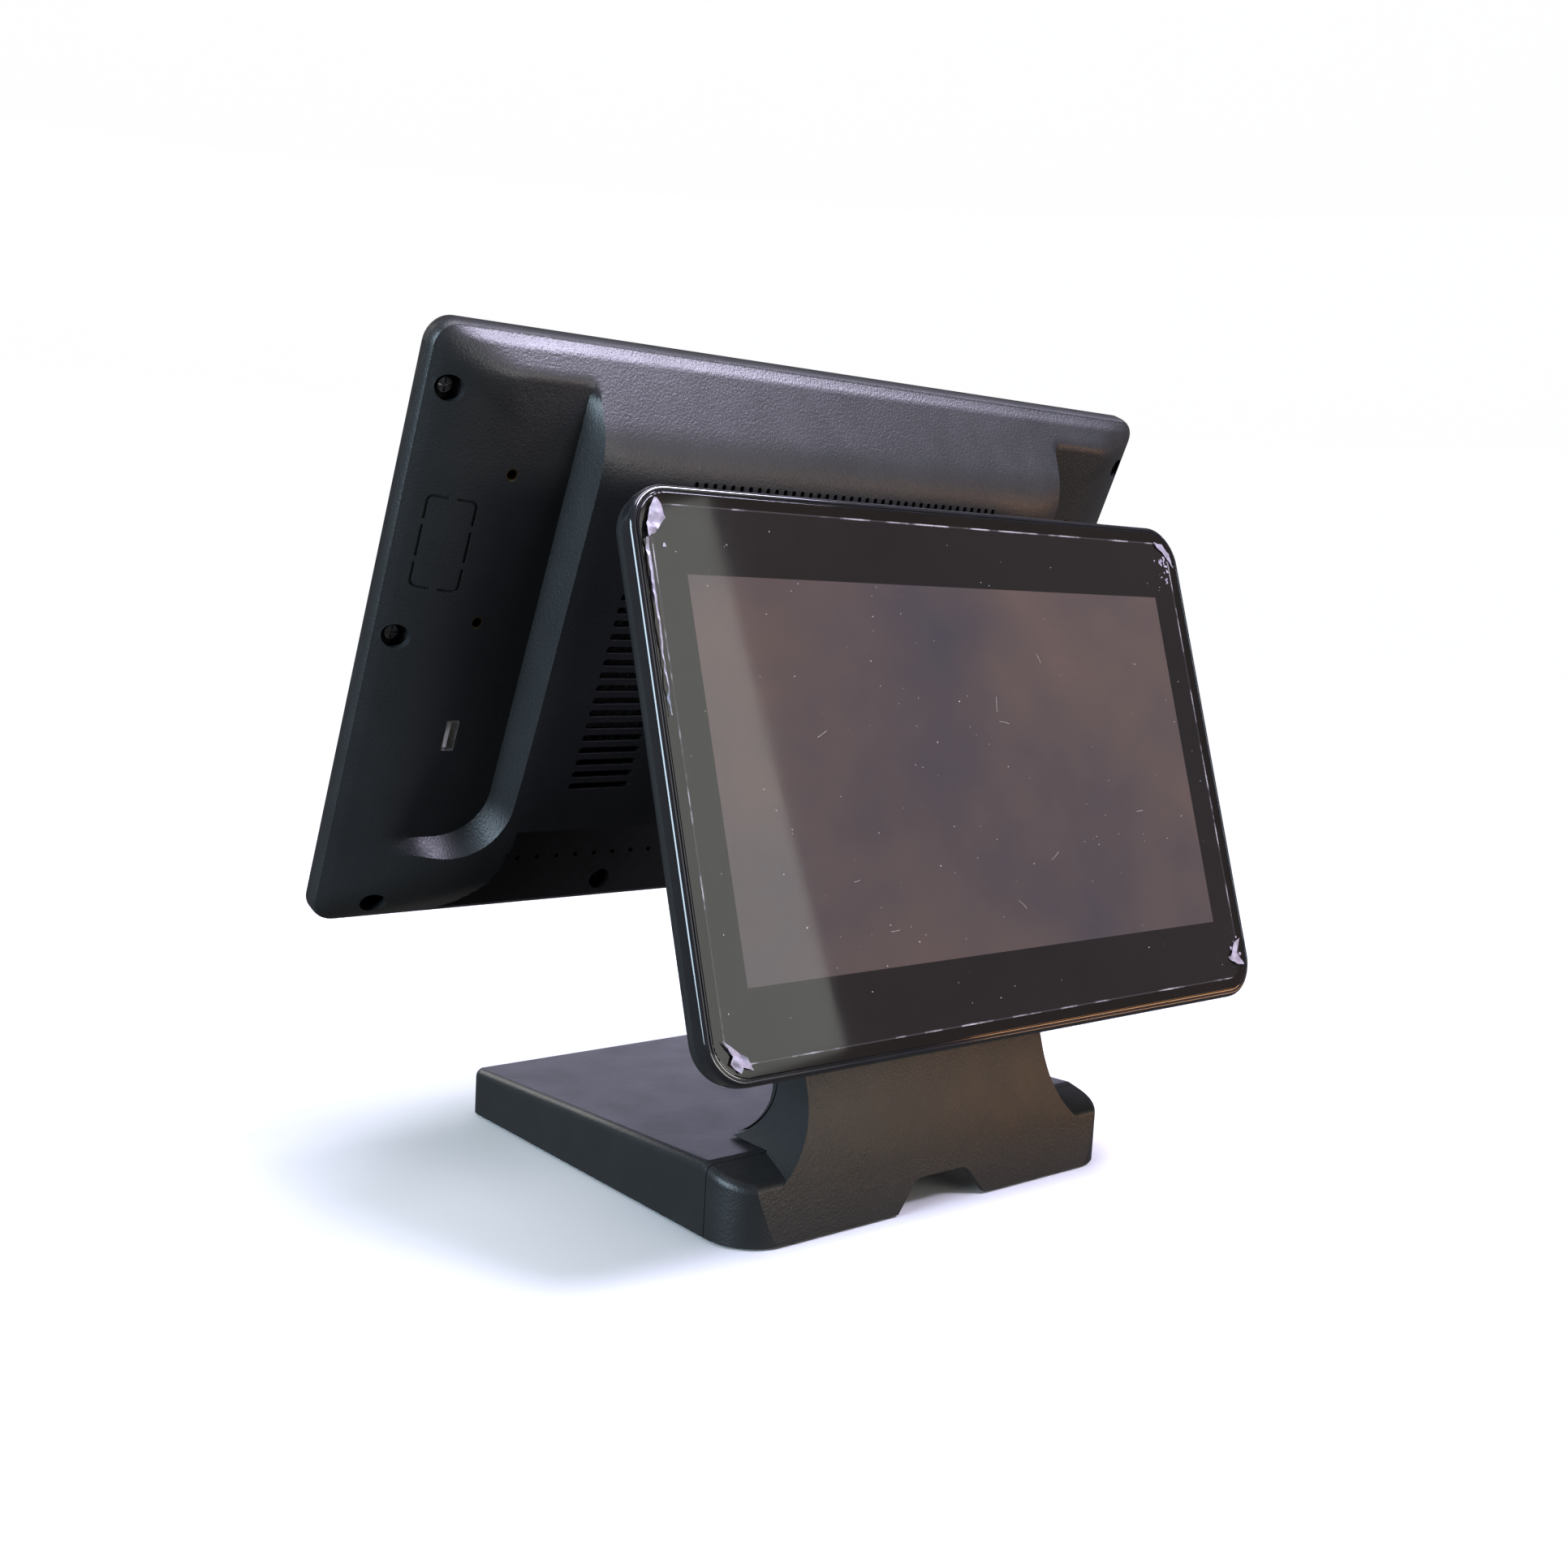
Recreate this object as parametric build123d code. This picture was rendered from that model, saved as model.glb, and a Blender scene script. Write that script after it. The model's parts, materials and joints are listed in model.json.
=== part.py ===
"""Point-of-sale touchscreen terminal: a wide operator display and a smaller customer display,
back to back on one leaning column that rises from a weighted wedge-shaped base.

Millimetres, +Z up. The operator display faces -Y and the customer display faces +Y. The rubber
feet stand on Z = 0, and the origin is under the middle of the whole terminal.
"""
from build123d import *
import math
import os

# ---------------------------------------------------------------- driving dimensions
# Base, measured from its own middle in plan
BASE_WIDTH = 208.0
BASE_DEPTH = 198.0
BASE_FRONT_HEIGHT = 20.7
BASE_REAR_HEIGHT = 29.6
BASE_CREST_SETBACK = 25.0       # from the rear face forward to the highest line of the base
APRON_HEIGHT = 23.0             # top of the rear apron at the rear face
BASE_REAR_CORNER = 20.0
BASE_FRONT_CORNER = 8.0
BASE_EDGE_ROUND = 3.5
SEAM_SETBACK = 22.0             # seam between the base cover and the rear cover
SEAM_GAP = 0.4
COVER_LIFT = 1.0                # lower edge of the covers above the counter
WALL = 2.5
FOOT_RADIUS = 8.0
FOOT_HEIGHT = 2.0
FOOT_INSET = 18.0
BOTTOM_PLATE_THICKNESS = 1.2
BALLAST_WIDTH = 150.0
BALLAST_MARGIN = 11.0           # from the base's front edge back to the weight
BALLAST_THICKNESS = 8.0
BOSS_INSET = 20.0               # screw bosses of the base cover, from its sides
BOSS_FRONT = 35.0               # and from its front edge
BOSS_REAR = 25.0                # and ahead of the seam
BOSS_RADIUS = 4.0
CABLE_BAY_WIDTH = 144.0         # open bay in the bottom plate, behind the weight
CABLE_BAY_DEPTH = 77.0
PLATE_GAP = 0.8                 # between the bottom plate and the covers' walls
ARCH_WIDTH = 52.0               # cable arch in the apron, at the counter
ARCH_TOP_WIDTH = 28.0
ARCH_HEIGHT = 13.5

# Column
COLUMN_WIDTH = 132.0
COLUMN_THICKNESS = 20.0
COLUMN_LEAN = 20.0              # degrees from vertical
COLUMN_KNEE_HEIGHT = 60.0       # below this the rear face curves down to the base
COLUMN_KNEE_FORWARD = 12.8      # how far the knee lies in front of the rear edge
COLUMN_TOP_HEIGHT = 209.0
COLUMN_CORNER = 5.0
BELL_RADIUS = 40.0              # sweep from the column's sides to the apron
BELL_DROP = 8.0                 # how far below the apron's top the sweep would level out
TOE_RADIUS = 20.0               # sweep from the column's front to the base top
TOE_REACH = 23.0                # how far the sweep is kept ahead of the column's front corner
TOE_LIP = 0.8                   # thickness of the front cover's toe where it meets the base
COVER_GAP = 0.3                 # between the column's front and rear covers
FRONT_COVER_THICKNESS = 3.0
FRAME_THICKNESS = 3.0
FRAME_WIDTH = 96.0
FRAME_FOOT = 36.0               # how far the frame's foot reaches onto the weight
FRAME_BOLT_X = 40.0
FRAME_BOLT_SETBACK = (26.0, 10.0)   # bolts ahead of the cable bay
FRAME_BOLT_RADIUS = 2.5
BRACKET_THICKNESS = 3.0
MAIN_BRACKET_BOLTS = [(x, along) for x in (-24.0, 24.0) for along in (116.0, 128.0)]
CUSTOMER_BRACKET_BOLTS = [(x, along) for x in (-29.0, 29.0) for along in (92.0, 106.0)]
RIVET_RADIUS = 2.0
WIRE_HOLE = (26.0, 34.0)        # cable hole in the frame
WIRE_HOLE_ALONG = 30.0

# Operator display, in its own plane: u across, v up the panel, w out of the glass
MAIN_WIDTH = 380.5
MAIN_HEIGHT = 250.2
MAIN_CORNER = 10.0
MAIN_TILT = 21.65               # degrees from vertical
MAIN_BEZEL_DEPTH = 4.5
MAIN_GLASS_THICKNESS = 1.6
MAIN_GLASS_INSET = 2.2
MAIN_TAPE = 0.4
MAIN_WINDOW = (346.5, 196.0)
LCD_SIZE = (351.0, 208.0)
LCD_THICKNESS = 3.2
CHASSIS_SIZE = (366.0, 224.0)
CHASSIS_THICKNESS = 1.2
CHASSIS_GAP = 0.2               # between the panel module and the chassis
CHASSIS_SCREW_INSET = 11.4      # from the display's sides
RIM_DEPTH = 4.0                 # straight edge of the rear cover
BACK_DEPTH = 32.6               # rear face of the raised middle behind the rim plane
BACK_HALF_WIDTH = 125.6
BACK_TOP = 90.0
BACK_BOTTOM = -66.0
WING_DEPTH = 15.0               # lowered flat wings at both sides
WING_INNER = 127.5
WING_TOP = 110.0
WING_BOTTOM = -80.0
BAY_DEPTH = 9.0                 # connector bay under the raised middle
BAY_TOP = -72.0
BAY_HALF_WIDTH = 120.0
SCREW_HEAD_RADIUS = 2.8
SCREW_RADIUS = 1.45
COUNTERBORE_RADIUS = 5.0
SCREW_SEAT = -2.4               # floor of the screw counterbores
COVER_SCREWS = ([(u, v) for u in (-182.0, 182.0) for v in (102.0, 5.0)]
                + [(u, -112.0) for u in (-169.0, -57.0, 57.0, 169.0)])
VENT_SIDE_COUNT = 18
VENT_SIDE_PITCH = 5.65
VENT_SIDE_START = (73.6, -50.0)
VENT_SIDE_SIZE = (30.0, 3.0)
VENT_TOP_COUNT = 38
VENT_TOP_PITCH = 4.46
VENT_TOP_V = 77.0
VENT_TOP_SIZE = (2.0, 14.0)
ACCESSORY_U = 153.0
ACCESSORY_V = (74.4, 14.4)
INSERT_RADIUS = 3.4
INSERT_BORE = 2.0
INSERT_LENGTH = 8.0
KNOCKOUT = (172.8, 44.3, 18.5, 37.0)   # u, v, width, height
KNOCKOUT_LINE = 1.0
KNOCKOUT_BRIDGE = 2.4
USB_PLACE = (153.0, -34.5)
USB_SIZE = (5.6, 13.4)
USB_DEPTH = 12.0
SPEAKER_HOLES = 9
SPEAKER_HOLE_PITCH = 4.5
SPEAKER_PLACE = (90.0, -98.0)   # middle of each row of speaker holes

# Electronics, in the same plane
STANDOFF = 7.0
BOARD_THICKNESS = 1.6
BOARD = (-45.0, 122.0, -68.0, 60.0)      # u and v limits
BOARD_HOLES = [(u, v) for u in (-38.0, 115.0) for v in (-49.0, 53.0)]
PORT_LENGTH = 18.0
PORT_CLEARANCE = 0.6            # between the connectors and the cover over them
PORT_PITCH = {"power_inlet": (88.0, 99.0), "lan_jack": (62.0, 78.0), "usb_stack": (30.0, 46.0),
              "video_port": (-8.0, 23.0), "serial_port": (-42.0, -11.0)}   # u from, u to
SINK_FINS = 10
SINK_FIN_PITCH = 5.9

# Operator display's hinge
MAIN_AXIS_ALONG = 147.19        # axis along the column, from its knee
MAIN_AXIS_PROUD = 8.35          # axis in front of the column's front face
MAIN_AXIS_BEHIND = 19.9         # axis behind the raised middle
MAIN_AXIS_V = -4.4
HINGE_PIN_RADIUS = 5.0
HINGE_PLAY = 0.05
MAIN_EAR_X = (27.0, 32.0)
MAIN_LUG_X = (34.0, 39.0)
HINGE_EAR_RADIUS = 9.5
BARREL_RADIUS = 10.5
SHAFT_OVERHANG = 8.5            # shaft beyond the outer lugs, for the nuts
WASHER_THICKNESS = 1.5
WASHER_RADIUS = 8.5
NUT_RADIUS = 8.2
NOTCH_CLEARANCE = 1.0           # between the hinge and the notch in the covers
HINGE_POSTS = [(u, MAIN_AXIS_V + dv) for u in (-42.0, 42.0) for dv in (-24.0, 24.0)]
POST_RADIUS = 4.5
HINGE_ARM_SIZE = (104.0, 64.0)
SHROUD_SIZE = (118.0, 78.0)

# Customer display, in its own plane
CUSTOMER_WIDTH = 297.7
CUSTOMER_HEIGHT = 209.3
CUSTOMER_CORNER = 17.0
CUSTOMER_TILT = 18.34
CUSTOMER_RIM_DEPTH = 6.0
CUSTOMER_DEPTH = 14.0
CUSTOMER_GLASS_INSET = 3.0
CUSTOMER_GLASS_THICKNESS = 1.8
CUSTOMER_LCD = (268.0, 160.0)
CUSTOMER_AXIS_ALONG = 99.25     # axis along the column, from its knee
CUSTOMER_AXIS_PROUD = 24.43     # axis behind the column's rear face
CUSTOMER_AXIS_BEHIND = 17.0
CUSTOMER_AXIS_V = -3.8
CUSTOMER_PIN_RADIUS = 4.0
CUSTOMER_EAR_X = (17.0, 22.0)
CUSTOMER_LUG_X = (24.0, 29.0)
CUSTOMER_EAR_RADIUS = 8.5
FILM_THICKNESS = 0.2
FILM_INSET = 4.5

# Power button on the far wing
BUTTON_PLACE = (-153.0, -34.5)
BUTTON_RADIUS = 6.0
BUTTON_GAP = 0.4
BUTTON_TRAVEL = 1.2
BUTTON_PROUD = 1.6

# ---------------------------------------------------------------- shared frames
base_front = -BASE_DEPTH / 2
base_rear = BASE_DEPTH / 2
seam_y = base_rear - SEAM_SETBACK
lean = math.radians(COLUMN_LEAN)
knee_y = base_rear - COLUMN_KNEE_FORWARD
floor_top = FOOT_HEIGHT + BOTTOM_PLATE_THICKNESS
ballast_top = floor_top + BALLAST_THICKNESS
crest_y = base_rear - BASE_CREST_SETBACK
top_slope = (BASE_REAR_HEIGHT - BASE_FRONT_HEIGHT) / (crest_y - base_front)
cable_bay_y = base_rear - CABLE_BAY_DEPTH
column_front_y = knee_y - COLUMN_THICKNESS / math.cos(lean)
toe_corner_y = column_front_y + (COLUMN_KNEE_HEIGHT - BASE_REAR_HEIGHT) * math.tan(lean)
bosses = [(x, y) for x in (BOSS_INSET - BASE_WIDTH / 2, BASE_WIDTH / 2 - BOSS_INSET)
          for y in (base_front + BOSS_FRONT, seam_y - BOSS_REAR)]
chassis_screws = [(u, v) for u in (CHASSIS_SCREW_INSET - MAIN_WIDTH / 2,
                                   MAIN_WIDTH / 2 - CHASSIS_SCREW_INSET) for v in (-60.0, 60.0)]
frame_bolts = [(x, cable_bay_y - setback) for x in (-FRAME_BOLT_X, FRAME_BOLT_X)
               for setback in FRAME_BOLT_SETBACK]


def tilted_frame(y, z, tilt, facing):
    """Plane of a display: its Z points out of the glass, `facing` is -1 for -Y and +1 for +Y."""
    angle = math.radians(tilt)
    outward = (0, facing * math.cos(angle), math.sin(angle))
    return Plane(origin=(0, y, z), x_dir=(-facing, 0, 0), z_dir=outward)


def display_frame(axis, along, behind, tilt, facing):
    """Plane of a display whose hinge axis lies `along` up the plane and `behind` it."""
    level = tilted_frame(0, 0, tilt, facing)
    offset = level.from_local_coords((0, along, -behind))
    return tilted_frame(axis.Y - offset.Y, axis.Z - offset.Z, tilt, facing)


column_middle_y = knee_y - COLUMN_THICKNESS / 2 / math.cos(lean)
column_frame = tilted_frame(column_middle_y, COLUMN_KNEE_HEIGHT, COLUMN_LEAN, 1)
main_out = -COLUMN_THICKNESS / 2 - MAIN_AXIS_PROUD
customer_out = COLUMN_THICKNESS / 2 + CUSTOMER_AXIS_PROUD
main_axis = column_frame.from_local_coords((0, MAIN_AXIS_ALONG, main_out))
customer_axis = column_frame.from_local_coords((0, CUSTOMER_AXIS_ALONG, customer_out))
main_frame = display_frame(main_axis, MAIN_AXIS_V, BACK_DEPTH + MAIN_AXIS_BEHIND, MAIN_TILT, -1)
customer_frame = display_frame(customer_axis, CUSTOMER_AXIS_V,
                               CUSTOMER_DEPTH + CUSTOMER_AXIS_BEHIND, CUSTOMER_TILT, 1)

chassis_front = -LCD_THICKNESS - CHASSIS_GAP
chassis_rear = chassis_front - CHASSIS_THICKNESS
board_front = chassis_rear - STANDOFF
board_rear = board_front - BOARD_THICKNESS
back_slope = (BACK_DEPTH - RIM_DEPTH) / (BACK_BOTTOM + MAIN_HEIGHT / 2)
bay_roof = BACK_DEPTH - (BACK_BOTTOM - BAY_TOP) * back_slope
port_low = -(bay_roof - WALL / math.cos(math.atan(back_slope)) - PORT_CLEARANCE)

nodes = {}


def add(name, shape, frame=None):
    """Keep a finished piece, moved from its display's or column's frame into the terminal."""
    nodes[name] = frame.location * shape if frame else shape


# ---------------------------------------------------------------- small shape helpers
def plate(width, height, corner, low, high, centre=(0, 0)):
    """Flat plate with rounded corners between two levels."""
    outline = Pos(centre[0], centre[1], low) * RectangleRounded(width, height, corner)
    return extrude(outline, amount=high - low)


def block(x0, x1, y0, y1, z0, z1):
    """Box between two corners."""
    middle = Pos((x0 + x1) / 2, (y0 + y1) / 2, (z0 + z1) / 2)
    return middle * Box(x1 - x0, y1 - y0, z1 - z0)


def post(x, y, low, high, radius):
    """Upright cylinder between two levels."""
    return Pos(x, y, (low + high) / 2) * Cylinder(radius, high - low)


def cross_rod(y, z, x0, x1, radius):
    """Cylinder along X."""
    return Pos((x0 + x1) / 2, y, z) * Rot(0, 90, 0) * Cylinder(radius, x1 - x0)


def mirrored(shape):
    """A piece and its mirror image across the middle plane."""
    return shape + mirror(shape, about=Plane.YZ)


def group(shapes):
    """Separate solids that share one node."""
    return Compound(children=list(shapes))


def screw(x, y, seat, tip, head_height, head_up=-1):
    """Pan-head screw: its head lies beyond `seat` on the head_up side, its shank runs to `tip`."""
    far = seat + head_up * head_height
    head = post(x, y, min(seat, far), max(seat, far), SCREW_HEAD_RADIUS)
    shank = post(x, y, min(seat, tip), max(seat, tip), SCREW_RADIUS)
    drive = block(x - 2.6, x + 2.6, y - 0.35, y + 0.35, *sorted((far, far - head_up * 1.0)))
    cross = drive + Pos(x, y, 0) * Rot(0, 0, 90) * Pos(-x, -y, 0) * drive
    hole = post(x, y, *sorted((far, far - head_up * 1.0)), 1.0)
    return head + shank - cross - hole


# ---------------------------------------------------------------- base and column
REACH = 300.0                   # far beyond the terminal, for cutting shapes


def side_prism(edges_or_points, width=REACH):
    """Prism along X from an outline in the side view, centred on the middle plane."""
    if isinstance(edges_or_points[0], tuple):
        face = make_face(Polyline(*edges_or_points, close=True))
    else:
        face = make_face(edges_or_points)
    return extrude(Plane.YZ.offset(-width / 2) * face, amount=width)


def rear_limit(inset):
    """Everything in front of the terminal's curved rear face, moved forward by `inset`."""
    rear = base_rear - inset
    knee = knee_y - inset / math.cos(lean)
    rise = REACH - COLUMN_KNEE_HEIGHT
    bulge = ((rear + knee) / 2 + 1.9, COLUMN_KNEE_HEIGHT / 2)
    head = (knee - rise * math.tan(lean), REACH)
    edges = [Line((-REACH, -20), (-REACH, REACH)), Line((-REACH, REACH), head),
             Line(head, (knee, COLUMN_KNEE_HEIGHT)),
             ThreePointArc((knee, COLUMN_KNEE_HEIGHT), bulge, (rear, 0)),
             Line((rear, 0), (rear, -20)), Line((rear, -20), (-REACH, -20))]
    return side_prism(edges)


def front_limit(inset, lift=0.0):
    """Everything behind the column's front face and its swept toe, moved back by `inset`."""
    front = column_front_y + inset / math.cos(lean)
    toe_z = BASE_REAR_HEIGHT + lift
    corner = (front + (COLUMN_KNEE_HEIGHT - toe_z) * math.tan(lean), toe_z)
    rise = REACH - COLUMN_KNEE_HEIGHT
    along_base = (base_front, toe_z - (corner[0] - base_front) * top_slope)
    points = [(front - rise * math.tan(lean), REACH), corner, along_base,
              (base_front, -20), (REACH, -20), (REACH, REACH)]
    radii = [0, TOE_RADIUS + inset, 0, 0, 0, 0]
    return side_prism(FilletPolyline(*points, radius=radii, close=True).edges())


def footprint(inset, top):
    """Plan outline of the base, raised to `top`."""
    half = BASE_WIDTH / 2 - inset
    rear_corner = BASE_REAR_CORNER - inset
    front_corner = BASE_FRONT_CORNER - inset
    corners = [(-half, base_front + inset), (half, base_front + inset),
               (half, base_rear - inset), (-half, base_rear - inset)]
    radii = [front_corner, front_corner, rear_corner, rear_corner]
    outline = FilletPolyline(*corners, radius=radii, close=True)
    return Pos(0, 0, -20) * extrude(make_face(outline), amount=top + 20)


def base_solid(inset, low):
    """Wedge of the base without the column, shrunk by `inset`."""
    rear_drop = (crest_y, BASE_REAR_HEIGHT - inset)
    side = [(base_front + inset, low), (base_front + 1.5 + inset, BASE_FRONT_HEIGHT - inset),
            rear_drop, (base_rear + 2.0, APRON_HEIGHT - inset), (base_rear + 2.0, low)]
    solid = side_prism(side) & footprint(inset, BASE_REAR_HEIGHT) & rear_limit(inset)
    if inset > 0:
        return solid
    rim = [edge for edge in solid.edges() if edge.bounding_box().min.Z > BASE_FRONT_HEIGHT - 1.5]
    rim = [edge for edge in rim if abs(edge.center().X) > 1 or edge.center().Y > crest_y + 1
           or edge.center().Y < 0]
    return fillet(rim, BASE_EDGE_ROUND)


def bell(inset, top):
    """Rear view of the column: straight sides that sweep out to the apron."""
    half = COLUMN_WIDTH / 2 - inset
    sweep = BELL_RADIUS + inset
    foot = COLUMN_WIDTH / 2 + BELL_RADIUS + 2.0
    shoulder = APRON_HEIGHT - BELL_DROP - inset
    low = shoulder - 4.0
    points = [(-foot, low), (foot, low), (foot, shoulder), (half, shoulder),
              (half, top), (-half, top), (-half, shoulder), (-foot, shoulder)]
    round_top = COLUMN_CORNER * 1.6
    radii = [0, 0, 0, sweep, round_top, round_top, sweep, 0]
    face = make_face(FilletPolyline(*points, radius=radii, close=True))
    flat_rear = BASE_WIDTH / 2 - BASE_REAR_CORNER - inset
    between_corners = block(-flat_rear, flat_rear, -REACH, REACH, 0, REACH)
    return extrude(Plane.XZ.offset(-REACH / 2) * face, amount=REACH) & between_corners


def arch_cut():
    """Cable arch through the apron."""
    half, top_half = ARCH_WIDTH / 2, ARCH_TOP_WIDTH / 2
    corners = [(-half, -1), (half, -1), (top_half, ARCH_HEIGHT), (-top_half, ARCH_HEIGHT)]
    face = make_face(FilletPolyline(*corners, radius=[0, 0, 7, 7], close=True))
    return extrude(Plane.XZ.offset(-base_rear - 5) * face, amount=SEAM_SETBACK + 5)


def column_local(shape):
    """Move a shape drawn in the column's own frame (x, along the column, to the rear)."""
    return column_frame.location * shape


def hinge_notch():
    """Notch at the column's top front edge that the display's hinge turns in."""
    half = MAIN_LUG_X[1] + SHAFT_OVERHANG + NOTCH_CLEARANCE
    low = MAIN_AXIS_ALONG - BARREL_RADIUS - 2 * NOTCH_CLEARANCE
    deep = main_out + BARREL_RADIUS + 2 * NOTCH_CLEARANCE
    return column_local(block(-half, half, low, REACH, main_out - BARREL_RADIUS, deep))


def build_covers():
    """Plastic covers of the base and the column."""
    behind_seam = block(-REACH, REACH, seam_y, REACH, -20, REACH)
    ahead_of_seam = block(-REACH, REACH, -REACH, seam_y - SEAM_GAP, -20, REACH)
    outer_base = base_solid(0, COVER_LIFT)
    inner_base = base_solid(WALL, -10)
    top_cover = (outer_base & ahead_of_seam) - inner_base
    for x, y in bosses:
        top_cover = top_cover + (post(x, y, floor_top, BASE_REAR_HEIGHT, BOSS_RADIUS) & inner_base)
        top_cover = top_cover - post(x, y, -1, floor_top + 10, SCREW_RADIUS)
    add("base_top_cover", top_cover)

    column = rear_limit(0) & bell(0, COLUMN_TOP_HEIGHT)
    hollow = rear_limit(WALL) & bell(WALL, COLUMN_TOP_HEIGHT - WALL)
    rear = (outer_base & behind_seam) + (column & front_limit(FRONT_COVER_THICKNESS + COVER_GAP))
    rear = rear & behind_rear_seam()
    rear = rear - inner_base - (hollow & front_limit(-20)) - arch_cut() - hinge_notch()
    window = block(-CUSTOMER_EAR_X[1] - 0.5, CUSTOMER_EAR_X[1] + 0.5,
                   CUSTOMER_AXIS_ALONG - 10, CUSTOMER_AXIS_ALONG + 10, 5, 15)
    add("rear_stand_cover", rear - column_local(window))

    front = column & front_limit(0, TOE_LIP)
    front = front - front_limit(FRONT_COVER_THICKNESS, TOE_LIP) - outer_base - hinge_notch()
    beyond_toe = block(-REACH, REACH, -REACH, toe_corner_y - TOE_REACH, 0, COLUMN_KNEE_HEIGHT)
    add("column_front_cover", front - beyond_toe)


def behind_rear_seam():
    """Space of the rear cover: behind the seam in the base, and all of the column above it."""
    low = block(-REACH, REACH, seam_y, REACH, -20, BASE_REAR_HEIGHT)
    high = block(-REACH, REACH, -REACH, REACH, BASE_REAR_HEIGHT, REACH)
    return low + high


def build_base_metal():
    """Bottom plate, weight, feet, screws and the bent steel frame inside the column."""
    gap = WALL + PLATE_GAP
    bottom = footprint(gap, floor_top) & block(-REACH, REACH, -REACH, REACH, FOOT_HEIGHT, floor_top)
    bottom = bottom - block(-CABLE_BAY_WIDTH / 2, CABLE_BAY_WIDTH / 2, cable_bay_y, REACH, 0, 10)
    ballast = block(-BALLAST_WIDTH / 2, BALLAST_WIDTH / 2, base_front + BALLAST_MARGIN, cable_bay_y,
                    floor_top, ballast_top)
    for x, y in bosses:
        bottom = bottom - post(x, y, 0, floor_top + 2, SCREW_RADIUS)
    add("base_bottom_plate", bottom)
    foot_x, foot_y = BASE_WIDTH / 2 - FOOT_INSET, BASE_DEPTH / 2 - FOOT_INSET
    feet = [post(x, y, 0, FOOT_HEIGHT, FOOT_RADIUS) for x in (-foot_x, foot_x)
            for y in (-foot_y, foot_y)]
    add("rubber_feet", group(fillet(foot.edges().group_by(Axis.Z)[0], 0.6) for foot in feet))
    add("base_screws", group(screw(x, y, FOOT_HEIGHT, floor_top + 8, 1.4) for x, y in bosses))

    half = FRAME_THICKNESS / 2
    upright = column_local(block(-FRAME_WIDTH / 2, FRAME_WIDTH / 2, -80, MAIN_AXIS_ALONG + 2, -half, half))
    upright = upright & block(-REACH, REACH, -REACH, REACH, ballast_top, REACH)
    bend_y = column_middle_y + (COLUMN_KNEE_HEIGHT - ballast_top) * math.tan(lean)
    foot = block(-FRAME_WIDTH / 2, FRAME_WIDTH / 2, cable_bay_y - FRAME_FOOT, bend_y,
                 ballast_top, ballast_top + FRAME_THICKNESS)
    cable_way = block(-ARCH_WIDTH / 2 - 3, ARCH_WIDTH / 2 + 3, cable_bay_y + 3, REACH, 0, 22)
    frame = upright + foot - cable_way
    for x, y in frame_bolts:
        hole = post(x, y, floor_top + 2, 30, FRAME_BOLT_RADIUS)
        frame = frame - hole
        ballast = ballast - hole
    for x, along in MAIN_BRACKET_BOLTS + CUSTOMER_BRACKET_BOLTS:
        frame = frame - column_local(post(x, along, -5, 5, RIVET_RADIUS))
    wire_hole = plate(*WIRE_HOLE, 8, -5, 5, centre=(0, WIRE_HOLE_ALONG))
    frame = frame - column_local(wire_hole)
    add("column_frame", frame)
    add("ballast_plate", ballast)
    add("frame_bolts", group(bolt(x, y) for x, y in frame_bolts))


def bolt(x, y):
    """Hex bolt that holds the frame's foot to the weight."""
    seat = ballast_top + FRAME_THICKNESS
    head = extrude(Pos(x, y, seat) * RegularPolygon(4.5, 6), amount=3.2)
    return head + post(x, y, floor_top + 2, seat, FRAME_BOLT_RADIUS)


def hinge_ear(x_range, along, out, root_out, radius, bore, neck):
    """Flat ear in the column's frame: round about the hinge axis, with a neck to its plate."""
    thickness = x_range[1] - x_range[0]
    middle = (x_range[0] + x_range[1]) / 2
    disc = Pos(middle, along, out) * Rot(0, 90, 0) * Cylinder(radius, thickness)
    low, high = sorted((out, root_out))
    arm = block(x_range[0], x_range[1], along - neck, along + neck, low, high)
    hole = Pos(middle, along, out) * Rot(0, 90, 0) * Cylinder(bore, thickness + 2)
    return disc + arm - hole


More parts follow.
